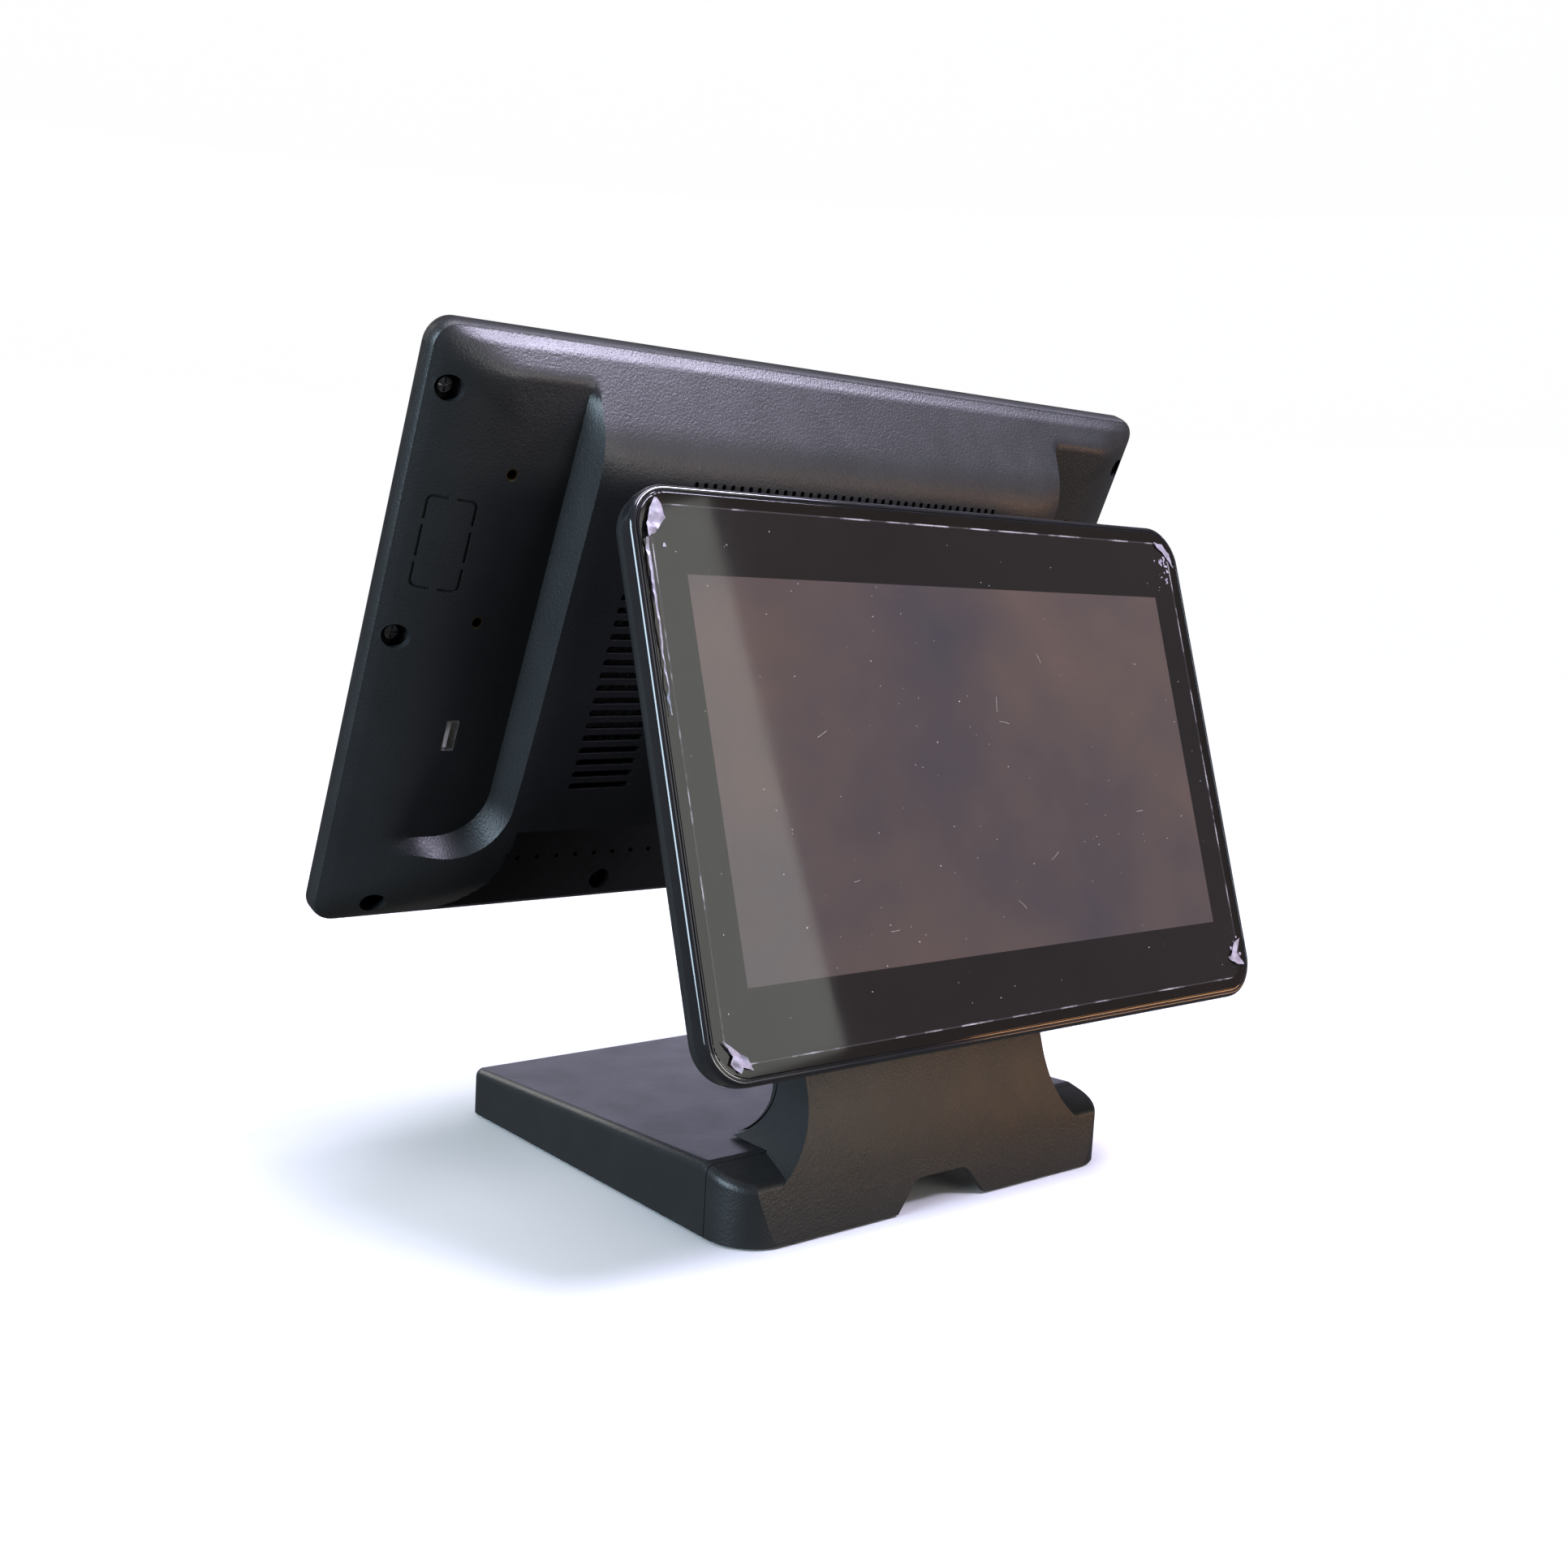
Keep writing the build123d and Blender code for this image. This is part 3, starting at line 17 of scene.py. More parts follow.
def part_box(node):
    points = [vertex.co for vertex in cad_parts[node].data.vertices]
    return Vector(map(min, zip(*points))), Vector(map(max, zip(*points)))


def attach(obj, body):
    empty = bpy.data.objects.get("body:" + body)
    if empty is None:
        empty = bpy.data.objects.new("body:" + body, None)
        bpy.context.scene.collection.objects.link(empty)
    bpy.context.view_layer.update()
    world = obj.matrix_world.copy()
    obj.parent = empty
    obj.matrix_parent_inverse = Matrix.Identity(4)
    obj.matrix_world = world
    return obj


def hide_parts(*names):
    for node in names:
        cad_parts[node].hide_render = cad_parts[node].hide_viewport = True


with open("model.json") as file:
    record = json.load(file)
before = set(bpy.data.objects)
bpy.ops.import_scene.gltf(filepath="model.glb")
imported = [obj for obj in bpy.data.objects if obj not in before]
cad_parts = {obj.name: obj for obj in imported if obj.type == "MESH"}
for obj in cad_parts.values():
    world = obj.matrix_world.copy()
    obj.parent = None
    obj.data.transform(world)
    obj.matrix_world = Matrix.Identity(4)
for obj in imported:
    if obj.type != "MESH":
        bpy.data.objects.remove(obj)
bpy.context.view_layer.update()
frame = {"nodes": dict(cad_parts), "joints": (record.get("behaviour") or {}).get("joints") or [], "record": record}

nodes = frame["nodes"]
MM = 0.001                      # metres in a millimetre
print("pieces in the frame:", len(nodes))

# %% [markdown]
# ## Drawing on a tilted panel
# Both displays lean, so drawing them in world coordinates would be painful. Each gets a plane of
# its own: u runs across it, v up it and w out of the glass, all in millimetres. A matrix carries
# a finished mesh from the plane into the terminal. The planes are found from flat pieces of the
# frame, whose boxes are centred on them.

# %% Panel planes
MODULE_MIDDLE = -1.6            # middle of the operator display's panel module, along w
FILM_MIDDLE = 0.1               # middle of the customer display's film, along w
CUSTOMER_LEAN = math.radians(18.34)


def panel_plane(node, middle, outward):
    """Matrix from a panel's millimetres to metres in the terminal."""
    outward = Vector(outward).normalized()
    across = Vector((0, 0, 1)).cross(outward).normalized()
    up = outward.cross(across)
    low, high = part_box(node)
    origin = (low + high) / 2 - outward * middle * MM
    turn = Matrix((across, up, outward)).transposed().to_4x4()
    return Matrix.Translation(origin) @ turn @ Matrix.Scale(MM, 4)


press = next(j for j in frame["joints"] if j["name"] == "power_press")
MAIN = panel_plane("main_lcd_panel", MODULE_MIDDLE, press["axis"])
CUSTOMER = panel_plane("protective_film", FILM_MIDDLE,
                       (0, math.cos(CUSTOMER_LEAN), math.sin(CUSTOMER_LEAN)))
print("operator display plane at", [round(c, 4) for c in MAIN.translation])
print("customer display plane at", [round(c, 4) for c in CUSTOMER.translation])


# %% Measure the frame's pieces on the planes
def extent(node, plane):
    """Lowest and highest corner of a piece of the frame, in a panel's millimetres."""
    to_plane = plane.inverted()
    spots = [to_plane @ vert.co for vert in nodes[node].data.vertices]
    return [Vector([pick(spot[i] for spot in spots) for i in range(3)]) for pick in (min, max)]


def flat_size(node, plane):
    """Width and height of a piece on a panel, to a hundredth of a millimetre."""
    low, high = extent(node, plane)
    return round(high.x - low.x, 2), round(high.y - low.y, 2)


WIDTH, HEIGHT = flat_size("main_rear_cover", MAIN)
BACK = round(-extent("main_rear_cover", MAIN)[0].z, 2)      # depth of the cover's flat middle
CUSTOMER_SIZE = flat_size("customer_rim", CUSTOMER)
FILM_SIZE = flat_size("protective_film", CUSTOMER)
print("rear cover:", WIDTH, "x", HEIGHT, "x", BACK, "mm, customer display:", CUSTOMER_SIZE, "mm")

# %% [markdown]
# ## Small mesh helpers
# The same few moves come back in every piece: a plate with round corners, a drilled hole, and the
# last step that turns a bmesh into an object riding on its body. Keeping them as functions lets
# each piece below stay short.

# %% Mesh helpers
def plate(bm, width, height, radius, low, high, centre=(0, 0), segments=6):
    """Plate with round corners between two levels, added to a bmesh."""
    made = bmesh.ops.create_cube(bm, size=1.0)["verts"]
    middle = (centre[0], centre[1], (low + high) / 2)
    place = Matrix.Translation(middle) @ Matrix.Diagonal((width, height, high - low, 1))
    bmesh.ops.transform(bm, matrix=place, verts=made)
    if radius > 0:
        upright = [e for e in {e for v in made for e in v.link_edges}
                   if abs(e.verts[0].co.z - e.verts[1].co.z) > (high - low) / 2]
        upright.sort(key=lambda e: (e.verts[0].co.x, e.verts[0].co.y))
        bmesh.ops.bevel(bm, geom=upright, offset=radius, segments=segments, affect="EDGES",
                        profile=0.5, material=-1)


def drum(bm, u, v, low, high, radius, sides=32):
    """Upright cylinder between two levels, added to a bmesh."""
    place = Matrix.Translation((u, v, (low + high) / 2))
    bmesh.ops.create_cone(bm, cap_ends=True, segments=sides, radius1=radius, radius2=radius,
                          depth=high - low, matrix=place)


def mesh_of(bm, name):
    """Mesh with the content of a bmesh, which is let go."""
    mesh = bpy.data.meshes.new(name)
    bm.to_mesh(mesh)
    bm.free()
    return mesh


def linked(name, data):
    """New object in the scene."""
    made = bpy.data.objects.new(name, data)
    bpy.context.scene.collection.objects.link(made)
    return made


def settle(bm, name, place, finish, body, replaced=(), crease=35.0):
    """Turn a bmesh into a finished piece that rides on a body."""
    bmesh.ops.transform(bm, matrix=place, verts=bm.verts)
    mesh = mesh_of(bm, name)
    piece = linked(name, mesh)
    mesh.materials.append(finish)
    for face in mesh.polygons:
        face.use_smooth = True
    mesh.set_sharp_from_angle(angle=math.radians(crease))
    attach(piece, body)
    if replaced:
        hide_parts(*replaced)
    print(name, "faces:", len(mesh.polygons))
    return piece


print("mesh helpers: plate, drum, mesh_of, linked, settle")

# %% [markdown]
# ## Finishes
# Moulded charcoal plastic is not one flat grey. The tool is spark-eroded, so the skin carries a
# fine grain that breaks up highlights, and handling leaves faint cloudy patches. Each material
# could be wired by hand, but they all need the same three layers: colour, roughness and bump.
# So one builder lays the layers, and each finish only states its numbers. Object coordinates are
# used throughout, so the grain has the same real size on every piece.

# %% Finish builder
def node_of(tree, kind, **values):
    """Add a shader node and set its plain values."""
    made = tree.nodes.new(kind)
    for key, value in values.items():
        if key in made.inputs:
            made.inputs[key].default_value = value
        else:
            setattr(made, key, value)
    return made


def noise_layer(tree, size, detail=4.0, stretch=(1, 1, 1)):
    """Noise whose features measure about `size` metres; returns its value socket."""
    coords = node_of(tree, "ShaderNodeTexCoord")
    mapping = node_of(tree, "ShaderNodeMapping", Scale=stretch)
    pattern = node_of(tree, "ShaderNodeTexNoise", Scale=1 / size, Detail=detail, Roughness=0.55)
    tree.links.new(coords.outputs["Object"], mapping.inputs["Vector"])
    tree.links.new(mapping.outputs["Vector"], pattern.inputs["Vector"])
    return pattern.outputs["Fac"]


def spread(tree, value, low, high, start=0.3, end=0.7):
    """Map a value between `start` and `end` to the range from `low` to `high`."""
    ramp = node_of(tree, "ShaderNodeMapRange")
    ramp.inputs["From Min"].default_value = start
    ramp.inputs["From Max"].default_value = end
    ramp.inputs["To Min"].default_value = low
    ramp.inputs["To Max"].default_value = high
    tree.links.new(value, ramp.inputs["Value"])
    return ramp.outputs["Result"]


def blend(tree, share, first, second):
    """Mix two colours, each a socket or a plain colour, by a share socket."""
    mix = tree.nodes.new("ShaderNodeMix")
    mix.data_type = "RGBA"
    tree.links.new(share, mix.inputs["Factor"])
    inputs = [socket for socket in mix.inputs if socket.type == "RGBA"]
    for colour, socket in zip((first, second), inputs):
        if isinstance(colour, bpy.types.NodeSocket):
            tree.links.new(colour, socket)
        else:
            socket.default_value = (*colour, 1)
    return next(socket for socket in mix.outputs if socket.type == "RGBA")


COAT_ROUGHNESS = 0.05
GLOSS_CLOUD = 0.37              # size of the patches of gloss, as a share of the colour's


def finish(name, dark, light, rough, metal=0.0, cloud=0.03, grain=0.0004, bump=0.15,
           depth=0.00005, specular=0.5, coat=0.0, stretch=(1, 1, 1)):
    """A finish with cloudy colour, uneven gloss and a fine grain in its surface."""
    material = bpy.data.materials.new(name)
    material.use_nodes = True
    tree = material.node_tree
    shader = tree.nodes["Principled BSDF"]
    shader.inputs["Metallic"].default_value = metal
    shader.inputs["Specular IOR Level"].default_value = specular
    shader.inputs["Coat Weight"].default_value = coat
    shader.inputs["Coat Roughness"].default_value = COAT_ROUGHNESS
    shade = spread(tree, noise_layer(tree, cloud), 0.0, 1.0)
    tree.links.new(blend(tree, shade, dark, light), shader.inputs["Base Color"])
    gloss = spread(tree, noise_layer(tree, cloud * GLOSS_CLOUD), *rough)
    tree.links.new(gloss, shader.inputs["Roughness"])
    relief = node_of(tree, "ShaderNodeBump", Strength=bump, Distance=depth)
    tree.links.new(noise_layer(tree, grain, 2.0, stretch), relief.inputs["Height"])
    tree.links.new(relief.outputs["Normal"], shader.inputs["Normal"])
    return material


print("layers of a finish: colour, roughness, bump")

# %% Finishes by material slot
finishes = {
    "housing_plastic": finish("charcoal_housing", (0.014, 0.015, 0.016), (0.020, 0.021, 0.022),
                              (0.37, 0.43), cloud=0.05, grain=0.001, bump=0.7, depth=0.0002),
    "gloss_rim": finish("piano_black", (0.010, 0.010, 0.012), (0.014, 0.014, 0.016),
                        (0.06, 0.14), grain=0.004, bump=0.05, depth=0.00003, coat=0.6),
    "panel_module": finish("panel_module", (0.10, 0.10, 0.11), (0.14, 0.14, 0.15), (0.25, 0.35)),
    "sheet_steel": finish("zinc_sheet", (0.42, 0.43, 0.45), (0.60, 0.61, 0.62), (0.28, 0.42),
                          metal=1.0, cloud=0.008, stretch=(1, 12, 1)),
    "black_steel": finish("black_powder_coat", (0.014, 0.014, 0.016), (0.022, 0.022, 0.024),
                          (0.42, 0.55), grain=0.0009, bump=0.4, depth=0.0001),
    "screw_steel": finish("black_zinc", (0.16, 0.16, 0.17), (0.24, 0.24, 0.25), (0.22, 0.34),
                          metal=1.0, cloud=0.003),
    "ground_steel": finish("ground_steel", (0.40, 0.41, 0.43), (0.56, 0.57, 0.58), (0.22, 0.36),
                           metal=1.0, cloud=0.01, stretch=(1, 1, 14)),
    "rubber": finish("rubber_foot", (0.014, 0.014, 0.014), (0.022, 0.021, 0.021), (0.65, 0.8),
                     grain=0.0012, bump=0.3),
    "tape": finish("foam_tape", (0.02, 0.02, 0.02), (0.03, 0.03, 0.03), (0.75, 0.9), grain=0.0006),
    "circuit_board": finish("solder_mask", (0.004, 0.030, 0.012), (0.008, 0.045, 0.018),
                            (0.25, 0.4), cloud=0.006, grain=0.002),
    "port_metal": finish("nickel_shell", (0.78, 0.77, 0.74), (0.92, 0.91, 0.88), (0.26, 0.38),
                         metal=1.0, cloud=0.004),
    "port_plastic": finish("socket_insulator", (0.80, 0.80, 0.77), (0.88, 0.88, 0.85), (0.3, 0.45),
                           cloud=0.004),
    "black_plastic": finish("smooth_black_plastic", (0.012, 0.012, 0.013), (0.019, 0.019, 0.020),
                            (0.28, 0.4), grain=0.0008, bump=0.2),
    "heat_sink": finish("extruded_aluminium", (0.58, 0.59, 0.60), (0.74, 0.74, 0.75), (0.25, 0.4),
                        metal=1.0, stretch=(1, 10, 1)),
    "brass": finish("turned_brass", (0.20, 0.15, 0.07), (0.32, 0.24, 0.12), (0.3, 0.42), metal=1.0,
                    cloud=0.003),
}
print("finishes:", len(finishes))

# %% [markdown]
# ## Glass with a printed border
# A display's cover glass is printed black from behind, all but the window over the picture. The
# switched-off panel in the window is a shade lighter than the ink, and soft warm brown patches over
# it are a painted reflection of the room. Both lie under the same polish. Painting the window on
# one sheet by its own plane keeps the edge razor sharp at any distance; a second sheet behind a
# clear one would need real thickness between them. A Mapping node carries Object coordinates into
# the panel's plane.

# %% Masks on a panel
def plane_coordinates(tree, plane):
    """Sockets with a point's u and v on a panel, in metres."""
    to_plane = plane.inverted()
    coords = node_of(tree, "ShaderNodeTexCoord")
    mapping = node_of(tree, "ShaderNodeMapping")
    mapping.inputs["Location"].default_value = to_plane.translation * MM
    mapping.inputs["Rotation"].default_value = to_plane.to_3x3().normalized().to_euler()
    split = node_of(tree, "ShaderNodeSeparateXYZ")
    tree.links.new(coords.outputs["Object"], mapping.inputs["Vector"])
    tree.links.new(mapping.outputs["Vector"], split.inputs["Vector"])
    return split.outputs["X"], split.outputs["Y"]


def arithmetic(tree, operation, *values):
    """A Math node on sockets or numbers."""
    made = node_of(tree, "ShaderNodeMath", operation=operation)
    for socket, value in zip(made.inputs, values):
        if isinstance(value, bpy.types.NodeSocket):
            tree.links.new(value, socket)
        else:
            socket.default_value = value
    return made.outputs["Value"]


def inside_box(tree, plane, width, height, soften=0.00008):
    """1 inside a rectangle centred on a panel and 0 outside, sizes in millimetres."""
    u, v = plane_coordinates(tree, plane)
    far_u = arithmetic(tree, "SUBTRACT", arithmetic(tree, "ABSOLUTE", u), width / 2 * MM)
    far_v = arithmetic(tree, "SUBTRACT", arithmetic(tree, "ABSOLUTE", v), height / 2 * MM)
    return spread(tree, arithmetic(tree, "MAXIMUM", far_u, far_v), 1.0, 0.0, -soften, soften)


print("masks: plane_coordinates, inside_box")


# %% Glass
CUSTOMER_WINDOW = (256.1, 144.05)
MAIN_WINDOW = (344.2, 193.6)
REFLECTION_PATCH_SIZE = 0.12              # size of the warm patches of painted reflection over the switched-off panel, in metres


def display_glass(name, plane, window, ink, panel_and_reflection):
    """Cover glass: black ink round a window onto the switched-off panel, with painted reflection patches."""
    glass = finish(name, *ink, (0.03, 0.07), cloud=0.09, grain=0.02, bump=0.02,
                   depth=0.00002, specular=0.6, coat=0.4)
    tree = glass.node_tree
    shader = tree.nodes["Principled BSDF"]
    border = shader.inputs["Base Color"].links[0].from_socket
    # window colour: the switched-off panel's grey blended with warm brown patches of painted reflection
    panel = blend(tree, spread(tree, noise_layer(tree, REFLECTION_PATCH_SIZE), 0.0, 1.0), *panel_and_reflection)
    in_window = inside_box(tree, plane, *window)
    tree.links.new(blend(tree, in_window, border, panel), shader.inputs["Base Color"])
    return glass


# customer window: dark grey panel plus warm brown patches that are a painted reflection
customer_glass = display_glass("customer_cover_glass", CUSTOMER, CUSTOMER_WINDOW,
                               ((0.005, 0.0035, 0.003), (0.009, 0.0065, 0.005)),
                               ((0.038, 0.034, 0.036), (0.092, 0.062, 0.045)))
finishes["screen_glass"] = display_glass("operator_cover_glass", MAIN, MAIN_WINDOW,
                                         ((0.010, 0.010, 0.011), (0.014, 0.014, 0.015)),
                                         ((0.030, 0.031, 0.034), (0.038, 0.039, 0.042)))
print("windows in millimetres:", CUSTOMER_WINDOW, MAIN_WINDOW)

# %% [markdown]
# ## The rear cover as a height field
# The operator display's back is one moulding: a pillow that swells from a thin rim to a flat
# middle, with a lowered wing cut into each side and a connector bay under the middle. It could be
# built from joined boxes, but the mould has soft slopes that run into each other. A formula for
# the depth behind the rim follows them better: slopes from each edge, blended by a smooth
# minimum. A grid is bent to the outline, its points are pulled onto the sharp crests, and then
# it is lowered to that depth.

# %% Rear cover dimensions
CORNER = 10.0
RIM = 4.0                       # depth where the slopes start
SIDE_REACH, SIDE_BULGE = 62.0, 0.25     # slope from a side: width and how much it bulges
TOP_STEP, TOP_SLOPE = 1.0, 0.79         # slope from the top: first depth, and depth per millimetre
BOTTOM_REACH, BOTTOM_TAIL = 55.0, 0.4   # slope from the bottom: height and what goes on above it
SIDE_BLEND, TOP_BLEND = 10.0, 9.0       # how softly the slopes run into each other
EDGE_ROUND, EDGE_DEPTH = 1.6, 4.3       # round edge of the outline
WING = 15.0                     # depth of the lowered wings
WING_CREST = 125.6              # half width of the raised middle
WING_FLOOR = -86.0              # lower crest of the wings
WING_TURN = 25.0                # radius between the two
WALL_RUN = 3.0                  # how far the upright wall leans out
SHELF_RUN = 2.5                 # and how much more along the lower crest
WING_BLEND, WING_SOFTER = 1.0, 8.0      # crease round a wing's floor, and how much softer it gets
SOFTER_REACH, SOFTER_START, SOFTER_RISE = 12.0, 0.3, 50.0
BAY = 9.0                       # depth of the connector bay
BAY_CREST = -71.7
BAY_RUN = 0.6
BAY_HALF = 121.0
BAY_FLARE = 31.0                # how much wider the bay is at the lower edge
COVER_WALL = 2.2
SKIN_PROBES = 8                 # spots looked at round a point of the inner skin
SKIN_EDGE = 0.1                 # width of the inner skin's flat edge
print("depths of wing, bay and wall:", WING, BAY, COVER_WALL, "mm")


def clamp(value):
    """Value kept between 0 and 1."""
    return min(max(value, 0.0), 1.0)


def smooth_min(a, b, reach):
    """The smaller of two values, blended where they are closer than `reach`."""
    share = max(reach - abs(a - b), 0.0) / reach
    return min(a, b) - share * share * reach / 4


def pillow(u, v):
    """Depth of the plain pillow, and how much deeper the top slope lies than the side slope."""
    side = (WIDTH / 2 - abs(u)) / SIDE_REACH
    swell = BACK - RIM
    from_side = RIM + swell * ((1 + SIDE_BULGE) * side - SIDE_BULGE * min(side, 1.0) ** 2)
    from_top = RIM + TOP_STEP + TOP_SLOPE * (HEIGHT / 2 - v)
    low = (HEIGHT / 2 + v) / BOTTOM_REACH
    from_bottom = RIM + swell * (2 * low - low * low if low < 1 else 1 + BOTTOM_TAIL * (low - 1))
    depth = smooth_min(from_side, from_bottom, SIDE_BLEND)
    depth = smooth_min(depth, from_top, TOP_BLEND)
    return smooth_min(depth, BACK, TOP_BLEND), from_top - from_side


def wing_distance(u, v):
    """Distance into the wing from its crest, and the direction of that distance."""
    x, y = abs(u) - WING_CREST, v - WING_FLOOR
    if x < WING_TURN and y < WING_TURN:
        reach = math.hypot(WING_TURN - x, WING_TURN - y)
        return WING_TURN - reach, ((WING_TURN - x) / reach, (WING_TURN - y) / reach)
    return (x, (1.0, 0.0)) if x < y else (y, (0.0, 1.0))


def bay_distance(u, v):
    """Distance into the connector bay from its crest, and its direction."""
    drop = BAY_CREST - v
    share = clamp(drop / (HEIGHT / 2 + BAY_CREST))
    edge = BAY_HALF + BAY_FLARE * (1 - math.sqrt(1 - share * share))
    across = edge - abs(u)
    return (across, (-1.0, 0.0)) if across < drop else (drop, (0.0, -1.0))


def wall_run(direction):
    """How far a wing's wall leans out, by the direction it faces."""
    return WALL_RUN + SHELF_RUN * direction[1] ** 2


# %% Depth of the cover
def cover_depth(u, v, edge):
    """Depth of the outer surface behind the rim; `edge` is the distance from the outline."""
    depth, top_deeper = pillow(u, v)
    into, direction = wing_distance(u, v)
    if into > 0:
        softer = clamp(top_deeper / SOFTER_REACH + SOFTER_START)
        softer *= clamp((v - WING_FLOOR) / SOFTER_RISE)
        floor = smooth_min(depth, WING, WING_BLEND + WING_SOFTER * softer)
        depth += (floor - depth) * clamp(into / wall_run(direction))
    into, _ = bay_distance(u, v)
    if into > 0:
        depth += (min(depth, BAY) - depth) * clamp(into / BAY_RUN)
    if edge < EDGE_ROUND:
        depth = min(depth, EDGE_DEPTH * math.sqrt(1 - (1 - edge / EDGE_ROUND) ** 2))
    return depth


def skin_depth(u, v):
    """Depth of the inner skin: one wall behind the shallowest spot of the outside nearby."""
    reach = [cover_depth(u + COVER_WALL * math.cos(a), v + COVER_WALL * math.sin(a), WIDTH)
             for a in (math.tau * i / SKIN_PROBES for i in range(SKIN_PROBES))]
    edge = min(WIDTH / 2 - u, HEIGHT / 2 - abs(v)) - COVER_WALL
    if edge <= SKIN_EDGE:
        return 0.0
    return max(min(*reach, cover_depth(u, v, WIDTH)) - COVER_WALL, 0.0)


print("depth in the middle:", cover_depth(0, 0, WIDTH),
      "on a wing:", round(cover_depth(WING_CREST + WING_TURN, 0, WIDTH), 2),
      "in the bay:", cover_depth(0, BAY_CREST - WING_TURN, WIDTH))


# %% Grid lines and crests
PITCH = 2.0                     # spacing of the grid
FIRST_LINES = (0.0, 0.08, 0.35, 0.9, EDGE_ROUND)    # distances of the outermost lines
WING_SNAP, BAY_SNAP, BAY_FOOT_SNAP = 0.53, 0.27, 0.5    # reach of each pull, in pitches
EXTRA_LINES = len(FIRST_LINES) - 1
COLUMNS = int(WIDTH / 2 / PITCH) + EXTRA_LINES
ROWS = int(HEIGHT / PITCH) + 2 * EXTRA_LINES
print("grid of one half:", COLUMNS, "x", ROWS)


def grid_line(index, count, half, both):
    """Place of one grid line: close together at the outline, even further in."""
    if index < len(FIRST_LINES):
        return -half + FIRST_LINES[index]
    if both and count - index < len(FIRST_LINES):
        return half - FIRST_LINES[count - index]
    start = -half + EDGE_ROUND
    stop = -start if both else 0.0
    inner = count - EXTRA_LINES * (2 if both else 1)
    return start + (stop - start) * (index - EXTRA_LINES) / inner


def round_corner(u, v):
    """Bend the grid's square corner to the outline's radius."""
    x, y = (u - WIDTH / 2 + CORNER) / CORNER, (abs(v) - HEIGHT / 2 + CORNER) / CORNER
    if x > 0 and y > 0:
        scale = CORNER * max(x, y) / math.hypot(x, y)
        u = WIDTH / 2 - CORNER + x * scale
        v = math.copysign(HEIGHT / 2 - CORNER + y * scale, v)
    return u, v


def pull(value, target, reach):
    """Step that brings a value onto a target line when it is closer than `reach`."""
    return target - value if abs(value - target) < reach else 0.0


def onto_crests(u, v):
    """Pull a point onto a crest or foot close by, and tell whether it is a wing's."""
    into, direction = wing_distance(u, v)
    reach = PITCH * WING_SNAP
    step = pull(into, 0.0, reach) or pull(into, wall_run(direction), reach)
    u, v = u + step * direction[0], v + step * direction[1]
    on_wing = step != 0
    into, direction = bay_distance(u, v)
    step = pull(into, 0.0, PITCH * BAY_SNAP) or pull(into, BAY_RUN, PITCH * BAY_FOOT_SNAP)
    return u + step * direction[0], v + step * direction[1], on_wing


def mend_diagonals(bm, crest):
    """Split a square along the crest where the crest crosses it corner to corner."""
    for face in list(bm.faces):
        corners = list(face.verts)
        marked = [corner in crest for corner in corners]
        if len(corners) == 4 and sum(marked) >= 2:
            for i in (0, 1):
                if marked[i] and marked[i + 2] and not (marked[i - 1] and marked[i + 1]):
                    bmesh.ops.connect_verts(bm, verts=[corners[i], corners[i + 2]])
                    break


# %% Bend a grid to the outline and its crests
def half_cover(inner=False):
    """Bent grid of one half, then mirrored; the inner skin is drawn in by a wall."""
    bm = bmesh.new()
    bmesh.ops.create_grid(bm, x_segments=COLUMNS, y_segments=ROWS, size=0.5)
    crest = set()
    for vert in bm.verts:
        column = round((vert.co.x + 0.5) * COLUMNS)
        row = round((vert.co.y + 0.5) * ROWS)
        u = -grid_line(column, COLUMNS, WIDTH / 2, False)
        v = grid_line(row, ROWS, HEIGHT / 2, True)
        edge = min(WIDTH / 2 - u, HEIGHT / 2 - abs(v))
        u, v = round_corner(u, v)
        if edge > 2 * PITCH and u > PITCH:
            u, v, on_wing = onto_crests(u, v)
            if on_wing:
                crest.add(vert)
        if inner:
            u, v = u * (1 - 2 * COVER_WALL / WIDTH), v * (1 - 2 * COVER_WALL / HEIGHT)
        vert.co = (u, v, -skin_depth(u, v) if inner else -cover_depth(u, v, edge))
    mend_diagonals(bm, crest)
    bmesh.ops.mirror(bm, geom=bm.verts[:] + bm.edges[:] + bm.faces[:], axis="X", merge_dist=0.01)
    bmesh.ops.recalc_face_normals(bm, faces=bm.faces)
    outward = sum(f.normal.z for f in bm.faces) < 0
    if outward == inner:
        bmesh.ops.reverse_faces(bm, faces=bm.faces)
    return bm


cover = half_cover()
cover.from_mesh(mesh_of(half_cover(inner=True), "inner_skin"))
bmesh.ops.bridge_loops(cover, edges=[e for e in cover.edges if e.is_boundary])
bmesh.ops.recalc_face_normals(cover, faces=cover.faces)
print("rear cover faces before cutting:", len(cover.faces))

# %% [markdown]
# ## Holes of the rear cover
# The vents are long slots with round ends, and the screws sit at the bottom of drilled seats.
# Holes could be left out of the grid, but its squares are too coarse for round ends. So all the
# cutters go into one mesh, and a single boolean makes every hole with a crisp edge. The broken
# outline on one wing is a knock-out panel: a groove one millimetre wide with bridges left in it.

